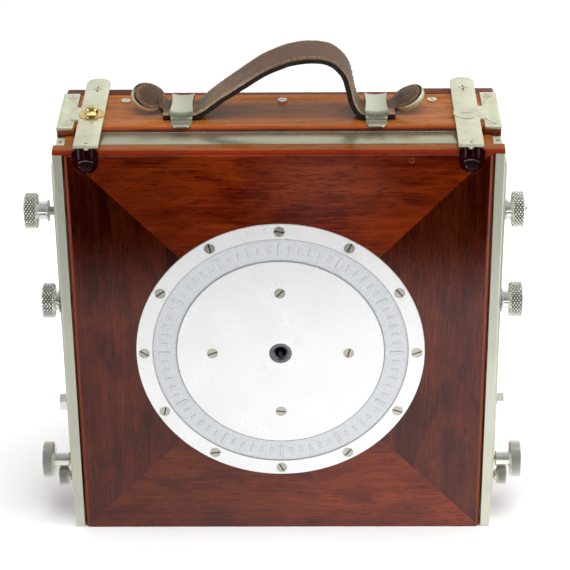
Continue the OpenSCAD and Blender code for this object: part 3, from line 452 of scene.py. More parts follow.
ASSIGN = {
    "bed_rail_top": "wood_x", "bed_rail_bottom": "wood_x2", "bed_stile_left": "wood_z", "bed_stile_right": "wood_z2",
    "side_rail_left": "nickel_z", "side_rail_right": "nickel_z", "tripod_ring": "plate", "tripod_disc": "plate",
    "tripod_bush": "dsteel", "ring_screws": "steel_r", "disc_screws": "steel_d", "bed_hinge_leaves": "brass_dull",
    "track_guides": "brass_dull", "focus_bearings": "brass_dull", "corner_brackets": "nickel_y", "track_plate": "brass_dull",
    "standard_bracket": "nickel_x", "focus_shaft": "brass", "focus_knob_left": "knurl", "focus_knob_right": "knurl",
    "track_lock_knob_left": "knurl", "track_lock_knob_right": "knurl", "standard_frame": "band", "front_board": "box_z",
    "panel_guides": "dark_z", "upright_left": "nickel_z", "upright_right": "nickel_z", "clamp_studs": "steel",
    "upright_nuts": "knurl", "rise_knob_left": "knurl", "rise_knob_right": "knurl", "tilt_knob_left": "knurl",
    "tilt_knob_right": "knurl", "rise_panel": "wood_x", "lens_board": "box_z", "lens_board_clip": "brass",
    "lens_board_catch": "brass", "lens_barrel": "lens_black", "lens_elements": "glass", "aperture_ring": "brass",
    "box_top": "box_x", "box_bottom": "box_x", "box_side_left": "box_z", "box_side_right": "box_z", "box_sill": "dark_x",
    "hinge_leaf_and_pins": "brass_dull", "latch_plates": "nickel_y", "latch_finger_left": "nickel_y",
    "latch_finger_right": "nickel_y", "back_catch_left": "nickel_y", "back_catch_right": "nickel_y",
    "latch_stud_left": "brass", "box_screws": "nickel_s", "handle_loops": "nickel_y", "handle_strap": "strap",
    "bellows": "bellows", "spring_back_frame": "dark_x", "ground_glass_frame": "box_x", "ground_glass": "ground",
    "bow_springs": "nickel_z",
}
for n, o in NODES.items():
    o.data.materials.clear()
    o.data.materials.append(M[ASSIGN[n]])


# ------------------------------------------------------------------ mesh helpers
def finish_mesh(name, bm, mat, body, angle=32, nodes=(), ride=True):
    bmesh.ops.recalc_face_normals(bm, faces=bm.faces[:])
    me = bpy.data.meshes.new(name)
    bm.to_mesh(me)
    bm.free()
    for p in me.polygons:
        p.use_smooth = True
    me.set_sharp_from_angle(angle=math.radians(angle))
    o = bpy.data.objects.new(name, me)
    bpy.context.scene.collection.objects.link(o)
    me.materials.append(M[mat])
    if ride:
        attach(o, body)
    if nodes:
        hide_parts(*nodes)
    return o


def soften(node, w=0.25, seg=2, angle=35, mat=None, name=None):
    """A CAD node's own shape with its sharp edges eased, standing for that node."""
    src = NODES[node]
    bm = bmesh.new()
    bm.from_mesh(src.data)
    bmesh.ops.remove_doubles(bm, verts=bm.verts[:], dist=2e-6)
    bmesh.ops.dissolve_limit(bm, angle_limit=math.radians(0.6), verts=bm.verts[:], edges=bm.edges[:])
    es = [e for e in bm.edges if len(e.link_faces) == 2 and e.calc_face_angle(0.0) > math.radians(angle)]
    bmesh.ops.bevel(bm, geom=es, offset=w * MM, offset_type="OFFSET", segments=seg, profile=0.5, affect="EDGES", clamp_overlap=False)
    bmesh.ops.triangulate(bm, faces=[f for f in bm.faces if len(f.verts) > 4])
    return finish_mesh(name or node + "_eased", bm, mat or ASSIGN[node], BODY[node], 40, (node,))


def lathe(bm, prof, axis, centre, seg=72, close_start=True, close_end=True):
    """Turns a profile [(along, radius), ...] about an axis ('X', 'Y' or 'Z') through centre."""
    rings = []
    for a, r in prof:
        ring = []
        for i in range(seg):
            th = 2 * math.pi * i / seg
            u, v = r * math.cos(th), r * math.sin(th)
            if axis == "X":
                p = Vector((a, u, v))
            elif axis == "Y":
                p = Vector((v, a, u))
            else:
                p = Vector((u, v, a))
            ring.append(bm.verts.new(p + centre))
        rings.append(ring)
    for a, b in zip(rings, rings[1:]):
        for i in range(seg):
            j = (i + 1) % seg
            bm.faces.new((a[i], a[j], b[j], b[i]))
    if close_start:
        bm.faces.new(rings[0])
    if close_end:
        bm.faces.new(list(reversed(rings[-1])))
    return rings


def knurled_knob(name, node, sgn, r, x_in, x_head0, x_head1, x_out, r_collar, washer, cy, cz, n, rows, depth=0.55, dish=True):
    """A turned knob with true diamond knurling, its axis along X on side sgn. Distances along X in mm from the centre plane.
    washer: (radius, thickness) or None."""
    bm = bmesh.new()
    gl_ = bm.verts.layers.float.new("groove")
    c = Vector((0, cy, cz))
    S = 2 * n

    def P(x, rad, k):
        th = 2 * math.pi * k / S
        return Vector((sgn * x * MM, rad * MM * math.cos(th), rad * MM * math.sin(th))) + c

    def ring(x, rad):
        return [bm.verts.new(P(x, rad, k)) for k in range(S)]

    L = []
    x0 = x_in
    if washer:
        wr, wt = washer
        L += [ring(x_in, 3.3), ring(x_in, wr - 0.25), ring(x_in + 0.25, wr), ring(x_in + wt - 0.25, wr), ring(x_in + wt, wr - 0.25)]
        x0 = x_in + wt
        L += [ring(x0, r_collar - 0.35)]
    else:
        L += [ring(x0, 3.3), ring(x0, r_collar - 0.35)]
    L += [ring(x0 + 0.35, r_collar), ring(x_head0 - 0.55, r_collar), ring(x_head0 - 0.15, r_collar + 0.2), ring(x_head0, r_collar + 0.8)]
    L += [ring(x_head0, r - 2.0), ring(x_head0 + 0.15, r - 1.35), ring(x_head0 + 0.75, r - 0.62)]
    a, b = x_head0 + 1.1, x_head1 - 1.1
    for j in range(rows + 1):
        x = a + (b - a) * j / rows
        rg = [bm.verts.new(P(x, r if (k + j) % 2 == 0 else r - depth, k)) for k in range(S)]
        # knurl valleys get groove 1: painted shade in the material
        for k in range(S):
            rg[k][gl_] = 0.0 if (k + j) % 2 == 0 else 1.0
        L.append(rg)
    first_k = len(L) - rows - 1
    L += [ring(x_head1 - 0.75, r - 0.62), ring(x_head1 - 0.15, r - 1.35), ring(x_head1, r - 2.0)]
    if dish:
        L += [ring(x_head1, r * 0.66), ring(x_head1 - 0.25, r * 0.64), ring(x_head1 - 0.6, r * 0.60), ring(x_head1 - 0.65, r * 0.34), ring(x_head1 - 0.3, r * 0.31)]
    if x_out - x_head1 > 1.5:
        L += [ring(x_head1 - 0.25, 2.6), ring(x_head1 - 0.25, 2.15), ring(x_out - 0.9, 2.15), ring(x_out - 0.35, 1.8), ring(x_out, 1.0)]
    else:
        L += [ring(x_head1 + 0.2, r * 0.28), ring(x_out - 0.05, r * 0.2)]
    for q, (u, v) in enumerate(zip(L, L[1:])):
        kn = first_k <= q < first_k + rows
        for k in range(S):
            m = (k + 1) % S
            if kn:
                j = q - first_k
                if (k + j) % 2 == 0:
                    bm.faces.new((u[k], u[m], v[k])); bm.faces.new((u[m], v[m], v[k]))
                else:
                    bm.faces.new((u[k], u[m], v[m])); bm.faces.new((u[k], v[m], v[k]))
            else:
                bm.faces.new((u[k], u[m], v[m], v[k]))
    bm.faces.new(L[0]); bm.faces.new(list(reversed(L[-1])))
    return finish_mesh(name, bm, "knurl", BODY[node], 24, (node,))


def knob_from(node, sgn, head, tail, r_collar, washer, n, rows, r=None, **kw):
    """The knob's place and reach come from the CAD node; head is the knurled length, tail what stands out beyond it."""
    lo, hi = bx(node)
    xs = sorted((abs(lo.x), abs(hi.x)))
    r = (hi.z - lo.z) / 2 / MM
    x0, xo = xs[0] / MM, xs[1] / MM
    x1 = xo - tail
    return knurled_knob(node + "_turned", node, sgn, r, x0, x1 - head, x1, xo, r_collar, washer, (lo.y + hi.y) / 2, (lo.z + hi.z) / 2, n, rows, **kw)


# ------------------------------------------------------------------ knobs
knob_from("rise_knob_left", -1, 9.5, 0.5, 6.4, (7.6, 1.0), 22, 7, depth=1.0)
knob_from("rise_knob_right", 1, 8.5, 3.0, 6.4, (7.6, 1.1), 22, 6, depth=1.0)
knob_from("tilt_knob_left", -1, 9.0, 0.5, 6.4, (9.0, 1.1), 22, 6, depth=1.0)
knob_from("tilt_knob_right", 1, 9.5, 0.5, 6.4, (9.0, 1.1), 22, 7, depth=1.0)
knob_from("focus_knob_left", -1, 8.5, 0.5, 5.4, None, 24, 6, depth=1.05)
knob_from("focus_knob_right", 1, 8.5, 2.0, 5.4, None, 24, 6, depth=1.05)
knob_from("track_lock_knob_left", -1, 7.5, 0.5, 4.0, None, 14, 6, depth=0.85, dish=False)
knob_from("track_lock_knob_right", 1, 7.5, 0.5, 4.0, None, 14, 6, depth=0.85, dish=False)

# ------------------------------------------------------------------ eased plates and metalwork
for n in ("latch_plates", "latch_finger_left", "latch_finger_right", "back_catch_left", "back_catch_right"):
    soften(n, 0.28, 2)
for n in ("standard_frame", "corner_brackets", "upright_left", "upright_right", "standard_bracket"):
    soften(n, 0.22, 2)
for n in ("box_top", "box_bottom", "box_side_left", "box_side_right", "ground_glass_frame", "front_board"):
    soften(n, 0.6, 2)
soften("spring_back_frame", 0.25, 2, angle=60)

# the strips run on without a break over the lines where the spring fingers bend
for n in ("latch_finger_left", "latch_finger_right", "back_catch_left", "back_catch_right"):
    lo, hi = bx(n)
    front = n.startswith("latch")
    ye = (hi.y + 0.9 * MM) if front else (lo.y - 0.9 * MM)      # edge of the fixed strip
    sg = 1.0 if front else -1.0
    fx = (lo.x + hi.x) / 2
    hw_ = (hi.x - lo.x) / 2 - 0.15 * MM
    bm = bmesh.new()
    rws = []
    NQ = 10
    for q in range(NQ + 1):
        y = ye + sg * (2.2 - 5.4 * q / NQ) * MM
        zt_ = hi.z + (0.0 if q in (0, NQ) else 0.07 * MM)
        rws.append([bm.verts.new(Vector((fx + u * hw_, y, zt_ - (0.05 * MM if abs(u) == 1 else 0)))) for u in (-1, -0.97, -0.5, 0, 0.5, 0.97, 1)]
                   + [bm.verts.new(Vector((fx + u * hw_, y, hi.z - 0.12 * MM))) for u in (1, 0, -1)])
    for a, b in zip(rws, rws[1:]):
        for k in range(len(a)):
            m = (k + 1) % len(a)
            bm.faces.new((a[k], a[m], b[m], b[k]))
    bm.faces.new(rws[0]); bm.faces.new(list(reversed(rws[-1])))
    o = finish_mesh(n + "_bend", bm, "nickel_y", "rear_standard", 40, (), ride=False)
    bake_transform(o)

# small wooden plug in the top rail
bm = bmesh.new()
lathe(bm, [(YF + 0.5 * MM, 2.0 * MM), (YF + 0.02 * MM, 2.0 * MM), (YF - 0.10 * MM, 1.8 * MM), (YF - 0.16 * MM, 0.9 * MM), (YF - 0.17 * MM, 0.1 * MM)], "Y", Vector((0.0894, 0, 0.298)), 28)
finish_mesh("bed_rail_plug", bm, "box_z", "bed", 40)

# ------------------------------------------------------------------ brass washer and domed nut
bm = bmesh.new()
lo, hi = bx("latch_stud_left")
c = Vector(((lo.x + hi.x) / 2, (lo.y + hi.y) / 2, 0))
zt = bx("latch_finger_left")[1].z
hx_ = bx("latch_stud_left")[1].z
prof = [(zt + 0.05 * MM, 3 * MM), (zt + 0.05 * MM, 8.5 * MM), (zt + 0.35 * MM, 8.9 * MM), (zt + 0.75 * MM, 8.85 * MM), (zt + 1.15 * MM, 8.4 * MM),
        (zt + 1.2 * MM, 7.9 * MM), (zt + 0.85 * MM, 7.2 * MM), (zt + 0.8 * MM, 5.8 * MM), (zt + 1.05 * MM, 5.1 * MM), (zt + 1.2 * MM, 4.75 * MM),
        (zt + 1.5 * MM, 4.6 * MM), (hx_ - 2.2 * MM, 4.5 * MM), (hx_ - 1.7 * MM, 4.35 * MM), (hx_ - 1.0 * MM, 3.8 * MM), (hx_ - 0.45 * MM, 2.9 * MM),
        (hx_ - 0.12 * MM, 1.7 * MM), (hx_ - 0.02 * MM, 0.8 * MM), (hx_, 0.25 * MM)]
lathe(bm, prof, "Z", c, 64)
finish_mesh("latch_stud_left_turned", bm, "brass", "rear_standard", 35, ("latch_stud_left",))


# ------------------------------------------------------------------ generic raised ticks on the cast band
bm = bmesh.new()
gl_ = bm.verts.layers.float.new("groove")
yf = bx("bed_rail_top")[0].y
for k in range(72):
    a = math.radians(k * 5)
    long_ = k % 6 == 0
    r0, r1 = (77.2, 86.8) if long_ else (79.2, 84.8)
    if k % 3 == 0 and not long_:
        r0, r1 = 78.6, 85.4
    w = 1.25 if long_ else 0.95
    d = Vector((math.cos(a), 0, math.sin(a)))
    e = Vector((-math.sin(a), 0, math.cos(a)))
    base = Vector((0, 0, PC.z))
    pts = []
    n_arc = 5
    for s, rr in ((1, r1 - w), (-1, r0 + w)):
        for q in range(n_arc):
            t = math.pi * (q / (n_arc - 1) - 0.5) * 1.0
            pts.append((rr + s * w * math.cos(t), s * w * math.sin(t)))
    low = [bm.verts.new(base + d * (p[0] * MM) + e * (p[1] * MM) + Vector((0, yf - 0.58 * MM, 0))) for p in pts]
    cxm = (r0 + r1) / 2
    top = [bm.verts.new(base + d * ((cxm + (p[0] - cxm) * 0.93) * MM) + e * (p[1] * 0.50 * MM) + Vector((0, yf - 1.10 * MM, 0))) for p in pts]
    N = len(pts)
    # the foot of each tick gets groove 1: painted shade in the material
    for v in low:
        v[gl_] = 1.0
    for i in range(N):
        j = (i + 1) % N
        bm.faces.new((low[i], low[j], top[j], top[i]))
    bm.faces.new(top)
    bm.faces.new(list(reversed(low)))
finish_mesh("ring_band_ticks", bm, "plate", "bed", 40)


# ------------------------------------------------------------------ strap
def bez(a, b, c, d, t):
    return a * (1 - t) ** 3 + b * 3 * t * (1 - t) ** 2 + c * 3 * t * t * (1 - t) + d * t ** 3


slo, shi = bx("handle_strap")
top_z = bx("box_top")[1].z
LX = 67.0
zc = slo.z / MM + 2.25
H = top_z / MM
SHAPE = [(-57.2, 0), (-54, 1.7), (-50, 4.6), (-46, 7.8), (-39, 13.2), (-29, 20.2), (-19, 27.1), (-10.7, 32.5), (-3.5, 36.1), (3.3, 38.9), (10, 40.9), (17, 42.0), (24, 42.3),
         (31, 41.5), (36, 39.7), (40.5, 36.3), (44.3, 31.8), (46.8, 26.3), (48.3, 20.3), (49.4, 14.3), (50.9, 8.8), (53, 4.2), (55.2, 1.5), (57.2, 0)]
ctrl = [Vector((x, zc)) for x in (-LX - 13, -LX - 7, -LX, -LX + 5)] + [Vector((x, zc + z)) for x, z in SHAPE] + [Vector((x, zc)) for x in (LX - 5, LX, LX + 7, LX + 13)]
path = []
for i in range(len(ctrl) - 1):
    a, b, c_, d_ = ctrl[max(0, i - 1)], ctrl[i], ctrl[i + 1], ctrl[min(len(ctrl) - 1, i + 2)]
    for q in range(6):
        t_ = q / 6
        path.append(0.5 * ((2 * b) + (c_ - a) * t_ + (2 * a - 5 * b + 4 * c_ - d_) * t_ ** 2 + (3 * b - a - 3 * c_ + d_) * t_ ** 3))
path.append(ctrl[-1])
# even out the spacing
d = [0.0]
for a, b in zip(path, path[1:]):
    d.append(d[-1] + (b - a).length)
NP = 150
ev = []
j = 0
for i in range(NP + 1):
    s = d[-1] * i / NP
    while j < len(d) - 2 and d[j + 1] < s:
        j += 1
    f = (s - d[j]) / max(1e-9, d[j + 1] - d[j])
    ev.append(path[j].lerp(path[j + 1], min(1, max(0, f))))
# two passes of smoothing
for _ in range(2):
    ev = [ev[0]] + [(ev[i - 1] + ev[i] * 2 + ev[i + 1]) / 4 for i in range(1, NP)] + [ev[-1]]
strap_y = 0.0
bm = bmesh.new()
wear = bm.verts.layers.float.new("wear")
edge = bm.verts.layers.float.new("edge")
W, TH = 27.4, 4.7
# cross-section: (across, up, wear, edge); crowned top, two plies with a pinched seam at mid thickness
prof = []
for u in [-1, -0.93, -0.86, -0.8, -0.7, -0.5, -0.25, 0, 0.25, 0.5, 0.7, 0.8, 0.86, 0.93, 1]:
    crown = 0.35 * (1 - u * u) - (0.22 if 0.77 < abs(u) < 0.89 else 0.0) - (0.5 if abs(u) > 0.99 else (0.2 if abs(u) > 0.92 else 0))
    prof.append((u * W / 2, TH / 2 - 0.25 + crown, max(0, (abs(u) - 0.72) / 0.28), 0.0))
prof += [(W / 2 + 0.15, 1.1, 0.35, 1.0), (W / 2 - 0.05, 0.25, 0.2, 1.0), (W / 2 - 0.25, 0.0, 0.0, 1.0), (W / 2 - 0.05, -0.25, 0.0, 1.0), (W / 2 + 0.1, -1.2, 0.0, 1.0)]
for u in [0.97, 0.85, 0.5, 0, -0.5, -0.85, -0.97]:
    prof.append((u * W / 2, -TH / 2 + 0.15 * (1 - u * u) * 0 + (0.3 if abs(u) > 0.96 else 0), 0.1, 0.8))
prof += [(-W / 2 - 0.1, -1.2, 0.0, 1.0), (-W / 2 + 0.05, -0.25, 0.0, 1.0), (-W / 2 + 0.25, 0.0, 0.0, 1.0), (-W / 2 + 0.05, 0.25, 0.2, 1.0), (-W / 2 - 0.15, 1.1, 0.35, 1.0)]
rings = []
frames_ = []
for i, p in enumerate(ev):
    a, b = ev[max(0, i - 1)], ev[min(NP, i + 1)]
    tn = (b - a).normalized()
    nn = Vector((-tn.y, tn.x))
    if nn.y < 0 and abs(tn.x) > 0.5:
        nn = -nn
    s = i / NP
    wob = 0.35 * noise.noise(Vector((s * 9, 3.3, 0))) + 0.25 * noise.noise(Vector((s * 23, 8.1, 0)))
    yo = strap_y + 0.9 * noise.noise(Vector((s * 4.0, 1.1, 2.0)))
    # the arch leans back a little at its crown; narrow stays 1.0, so the width does not change
    lean = 0.10 * math.sin(math.pi * min(1, max(0, (s - 0.12) / 0.76)))
    narrow = 1.0
    ring = []
    for (u, v, w_, e_) in prof:
        vv = v + wob * 0.4 + 0.18 * noise.noise(Vector((s * 40, u * 0.25, 5)))
        pos2 = p + nn * (vv + u * lean)
        vert = bm.verts.new(Vector((pos2.x * MM, (yo + u * narrow) * MM, pos2.y * MM)))
        nz = 0.5 + 0.5 * noise.noise(Vector((s * 60, u * 0.4, 1.7)))
        vert[wear] = min(1.0, w_ * (0.35 + 0.9 * nz) + (0.25 if p.y > H + 36 else 0) * nz)
        vert[edge] = e_
        ring.append(vert)
    rings.append(ring)
    frames_.append((p, tn, nn, yo, lean))
for a, b in zip(rings, rings[1:]):
    for i in range(len(a)):
        k = (i + 1) % len(a)
        bm.faces.new((a[i], a[k], b[k], b[i]))
bm.faces.new(rings[0]); bm.faces.new(list(reversed(rings[-1])))


def tab(bm, sx):
    """Round padded end of the strap, tipped towards the front, with a neck to the loop."""
    cx_ = sx * (LX + (20.8 if sx > 0 else 22.5))
    ctr = Vector((cx_ * MM, (4.0 if sx > 0 else 4.5) * MM, (H + (9.3 if sx > 0 else 10.2)) * MM))
    rot = Matrix.Rotation(math.radians(-28 if sx > 0 else 22), 3, "Y") @ Matrix.Rotation(math.radians(10 if sx > 0 else 24), 3, "X")
    R = 11.3
    prof = [(-2.3, R * 0.55, 0.0, 1.0), (-2.3, R - 1.0, 0.0, 1.0), (-1.9, R - 0.25, 0.0, 1.0), (-1.1, R, 0.1, 1.0), (0.4, R, 0.3, 1.0), (0.9, R - 0.12, 1.0, 0.5), (1.35, R - 0.6, 1.0, 0.0),
            (1.55, R - 1.5, 0.7, 0.0), (1.35, R - 2.3, 0.3, 0.0), (1.7, R - 3.2, 0.2, 0.0), (2.1, R - 5.5, 0.15, 0.0), (2.3, R - 8.5, 0.15, 0.0), (2.35, 0.4, 0.1, 0.0)]
    seg = 56
    rs = []
    for (h, r, w_, e_) in prof:
        ring = []
        for k in range(seg):
            th = 2 * math.pi * k / seg
            rr = r * (1 + 0.018 * noise.noise(Vector((math.cos(th) * 2, math.sin(th) * 2, sx))))
            p = Vector((rr * math.cos(th) * MM, rr * math.sin(th) * MM, (h + 0.25 * noise.noise(Vector((r * math.cos(th) * 0.2, r * math.sin(th) * 0.2, 4)))) * MM))
            v = bm.verts.new(rot @ p + ctr)
            v[wear] = w_ * (0.4 + 0.6 * (0.5 + 0.5 * noise.noise(Vector((math.cos(th) * 5, math.sin(th) * 5, 9)))))
            v[edge] = e_
            ring.append(v)
        rs.append(ring)
    for a, b in zip(rs, rs[1:]):
        for k in range(seg):
            m = (k + 1) % seg
            bm.faces.new((a[k], a[m], b[m], b[k]))
    bm.faces.new(rs[0]); bm.faces.new(list(reversed(rs[-1])))
    # neck from the loop to the disc
    sec = [(-1, 0.0), (-0.9, 1.0), (-0.4, 1.25), (0, 1.3), (0.4, 1.25), (0.9, 1.0), (1, 0.0), (0.9, -1.0), (0, -1.1), (-0.9, -1.0)]
    prev = None
    K = 10
    for q in range(K + 1):
        f = q / K
        x = (LX + 8.0) * (1 - f) + (LX + 16.5) * f
        z = zc * (1 - f * f) + (H + 7.4) * f * f
        yc = 0.5 * (1 - f) + 4.0 * f
        hw = 12.5 * (1 - f) + 7.0 * f
        tilt = math.radians(22) * f * f
        ring = []
        for (a_, b_) in sec:
            y = a_ * hw * math.cos(tilt) - b_ * 2.0 * math.sin(tilt)
            zz = a_ * hw * math.sin(tilt) + b_ * 2.0 * math.cos(tilt)
            v = bm.verts.new(Vector((sx * x * MM, (yc + y) * MM, (z + zz) * MM)))
            v[wear] = 0.25 if abs(a_) > 0.85 else 0.08
            v[edge] = 1.0 if b_ < 0.5 else 0.0
            ring.append(v)
        if prev:
            for k in range(len(ring)):
                m = (k + 1) % len(ring)
                bm.faces.new((prev[k], prev[m], ring[m], ring[k]))
        else:
            bm.faces.new(ring)
        prev = ring
    bm.faces.new(list(reversed(prev)))
    return ctr, rot


nfs = len(bm.faces)
tabs = [tab(bm, -1), tab(bm, 1)]
bm.faces.ensure_lookup_table()
for f_ in bm.faces[nfs:]:
    f_.material_index = 1
strap = finish_mesh("handle_strap_leather", bm, "strap", "handle", 60, ("handle_strap",))
strap.data.materials.append(M["tab"])

# metal caps under the round ends
bm = bmesh.new()
for ctr, rot in tabs:
    prof = [(-3.6, 3.0), (-3.6, 9.8), (-3.3, 11.2), (-2.4, 11.8), (-1.0, 11.95), (0.9, 11.95), (1.15, 11.8), (1.15, 11.55), (0.9, 11.45), (-2.36, 11.4), (-2.36, 3.0)]
    sx_ = 1 if ctr.x > 0 else -1
    ctr = ctr + rot @ Vector((1.25 * sx_ * MM, -0.55 * MM, -0.0003))
    seg = 56
    rs = []
    for (h, r) in prof:
        rs.append([bm.verts.new(rot @ Vector((r * math.cos(2 * math.pi * k / seg) * MM, r * math.sin(2 * math.pi * k / seg) * MM, h * MM)) + ctr) for k in range(seg)])
    for a, b in zip(rs, rs[1:]):
        for k in range(seg):
            m = (k + 1) % seg
            bm.faces.new((a[k], a[m], b[m], b[k]))
    bm.faces.new(rs[0]); bm.faces.new(list(reversed(rs[-1])))
finish_mesh("handle_end_caps", bm, "nickel_y", "handle", 40, ())

# stitches along both edges of the strap
bm = bmesh.new()


def stitch(bm, c, along, up, L=2.3, w=0.42):
    side_ = along.cross(up).normalized()
    rings_ = []
    for q in range(5):
        f = q / 4 * 2 - 1
        r = w * math.sqrt(max(0.05, 1 - f * f * 0.95))
        o = along * (f * L / 2 * MM) - up * (f * f * 0.32 * MM)
        rings_.append([bm.verts.new(c + o + side_ * (r * MM * math.cos(a)) + up * (r * MM * math.sin(a))) for a in (0, 1.047, 2.094, 3.1416, 4.189, 5.236)])
    for a, b in zip(rings_, rings_[1:]):
        for k in range(6):
            m = (k + 1) % 6
            bm.faces.new((a[k], a[m], b[m], b[k]))
    bm.faces.new(rings_[0]); bm.faces.new(list(reversed(rings_[-1])))


step = 3.4
tot = d[-1]
n_st = int((tot - 44) / step)
for side_ in (-1, 1):
    for q in range(n_st):
        s = (22 + q * step) / tot
        rnd = noise.noise(Vector((q * 1.37, side_ * 4.1, 0.2)))
        if rnd > 0.34:
            continue          # a few stitches are worn away
        i = int(s * NP)
        p, tn, nn, yo, lean = frames_[i]
        u = side_ * W / 2 * 0.835
        pos = p + nn * (TH / 2 - 0.13 + u * lean)
        c3 = Vector((pos.x * MM, (yo + u) * MM, pos.y * MM))
        stitch(bm, c3, Vector((tn.x, 0, tn.y)), Vector((nn.x, 0, nn.y)), 2.3 + 0.3 * rnd)
for ctr, rot in tabs:
    for k in range(20):
        th = 2 * math.pi * k / 20 + 0.1
        if noise.noise(Vector((k * 2.1, ctr.x * 50, 0))) > 0.3:
            continue
        r = 9.0
        c3 = rot @ Vector((r * math.cos(th) * MM, r * math.sin(th) * MM, 1.45 * MM)) + ctr
        al = rot @ Vector((-math.sin(th), math.cos(th), 0))
        stitch(bm, c3 - (rot @ Vector((0, 0, 0.12 * MM))), al, rot @ Vector((0, 0, 1)), 1.7, 0.28)
finish_mesh("handle_stitching", bm, "thread", "handle", 60, ())

# ------------------------------------------------------------------ handle loops: bent saddles
bm = bmesh.new()
llo, lhi = bx("handle_loops")
y0, y1 = llo.y / MM, lhi.y / MM
prof = [(y0, 0.55), (y0 + 0.9, 0.72), (y0 + 2.5, 0.75), (y0 + 5.0, 0.78), (y0 + 7.4, 0.85), (y0 + 8.4, 1.25), (y0 + 8.9, 2.1), (y0 + 9.3, 3.3), (y0 + 9.8, 4.8), (y0 + 10.4, 5.7), (y0 + 11.4, 6.15), (y0 + 13.0, 6.2),
        (-8, 6.25), (0, 6.3), (8, 6.25), (y1 - 11.2, 6.2), (y1 - 9.4, 5.8), (y1 - 8.3, 4.7), (y1 - 7.6, 3.2), (y1 - 7.2, 1.9), (y1 - 6.4, 1.0), (y1 - 5.0, 0.78), (y1 - 3.0, 0.75), (y1 - 1.5, 0.75), (y1, 0.75)]
cols = [-1, -0.94, -0.8, -0.55, -0.25, 0, 0.25, 0.55, 0.8, 0.94, 1]
for sx in (-1, 1):
    top, bot = [], []
    for i, (y, z) in enumerate(prof):
        a = Vector(prof[max(0, i - 1)]); b = Vector(prof[min(len(prof) - 1, i + 1)])
        tn = (b - a).normalized(); nn = Vector((-tn.y, tn.x))
        upf = max(0.0, min(1.0, (z - 2.6) / 3.4))
        de = min(y - y0, y1 - y)           # distance from the end of the foot: rounded in plan
        hwid = 7.2 * (math.sqrt(max(0.02, 1 - max(0, (5.5 - de) / 5.5) ** 2)) * 0.62 + 0.38 if de < 5.5 else 1.0)
        hwid *= 1.0 - 0.03 * upf + 0.12 * upf * (abs(y) / 14.0) ** 2
        rt, rb = [], []
        for t in cols:
            curl = 1.5 * upf * abs(t) ** 2.4 - 0.25 * (1 - upf) * t * t
            yy, zz = y, z
            rt.append(bm.verts.new(Vector(((sx * LX + t * hwid) * MM, (yy + nn.x * 0.65) * MM, (H + zz + nn.y * 0.65 + curl) * MM))))
            rb.append(bm.verts.new(Vector(((sx * LX + t * hwid) * MM, (yy - nn.x * 0.65) * MM, (H + max(0.02, zz - nn.y * 0.65 + curl)) * MM))))
        top.append(rt); bot.append(rb)
    for A in (top, bot):
        for a, b in zip(A, A[1:]):
            for k in range(len(cols) - 1):
                bm.faces.new((a[k], a[k + 1], b[k + 1], b[k]))
    for k in (0, len(cols) - 1):
        for i in range(len(prof) - 1):
            bm.faces.new((top[i][k], top[i + 1][k], bot[i + 1][k], bot[i][k]))
    for i in (0, len(prof) - 1):
        for k in range(len(cols) - 1):
            bm.faces.new((top[i][k], top[i][k + 1], bot[i][k + 1], bot[i][k]))
loops = finish_mesh("handle_loops_bent", bm, "nickel_l", "rear_standard", 50, ("handle_loops",))
md = loops.modifiers.new("round", "BEVEL"); md.width = 0.0003; md.segments = 2; md.limit_method = "ANGLE"; md.angle_limit = math.radians(50)

# ------------------------------------------------------------------ bellows
blo, bhi = bx("bellows")
fb = bx("front_board")
y_front, y_rear = blo.y, bhi.y
TRAV = [j for j in frame["joints"] if j["name"] == "standard_slide"][0]["range_m"][1]
Ltot = (y_rear - y_front) + TRAV
PLEATS = 17
NR = 2 * PLEATS + 1


def t_for(u):
    lo_, hi_ = 0.0, 1.0
    for _ in range(50):
        m = (lo_ + hi_) / 2
        v = m * (y_rear - y_front) + m * m * (3 - 2 * m) * TRAV
        if v < u * Ltot:
            lo_ = m
        else:
            hi_ = m
    return (lo_ + hi_) / 2


bm = bmesh.new()
wl = bm.verts.layers.float.new("wear")
zf = (96 + 286) / 2 * MM; zr = (30 + 288) / 2 * MM
hf = (74 * MM, 95 * MM); hr = (127 * MM, 128.5 * MM)


def ring_pts(hx, hz, cz, y, cc, w_, per_side=10):
    pts = []
    # octagon-like corners, as folded bellows have
    quad = [(hx, -hz + cc), (hx, hz - cc), (hx - cc, hz), (-hx + cc, hz), (-hx, hz - cc), (-hx, -hz + cc), (-hx + cc, -hz), (hx - cc, -hz)]
    for i in range(8):
        a, b = quad[i], quad[(i + 1) % 8]
        n_ = per_side if i % 2 == 0 else 2
        for q in range(n_):
            f = q / n_
            pts.append(Vector((a[0] + (b[0] - a[0]) * f, y, cz + a[1] + (b[1] - a[1]) * f)))
    out = []
    for p in pts:
        v = bm.verts.new(p); v[wl] = w_; out.append(v)
    return out


rings = []
for i in range(NR):
    u = i / (NR - 1)
    t = t_for(u)
    y = y_rear - t * (y_rear - y_front)
    hx = hr[0] + (hf[0] - hr[0]) * u
    hz = hr[1] + (hf[1] - hr[1]) * u
    cz = zr + (zf - zr) * u
    outer = i % 2 == 1
    ins = 0.0 if outer else 8.5 * MM
    if i in (0, NR - 1):
        ins = 3.0 * MM
    rings.append(ring_pts(hx - ins, hz - ins, cz, y, (11 if outer else 5) * MM, 1.0 if outer else 0.0))
for a, b in zip(rings, rings[1:]):
    for k in range(len(a)):
        m = (k + 1) % len(a)
        bm.faces.new((a[k], a[m], b[m], b[k]))
bel = finish_mesh("bellows_pleated", bm, "bellows", "rear_standard", 25, (), ride=False)
sol = bel.modifiers.new("thick", "SOLIDIFY"); sol.thickness = 0.0008; sol.offset = -1
dg = bpy.context.evaluated_depsgraph_get()
me2 = bpy.data.meshes.new_from_object(bel.evaluated_get(dg))
bel.modifiers.clear()
bel.data = me2
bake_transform(bel)
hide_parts("bellows")

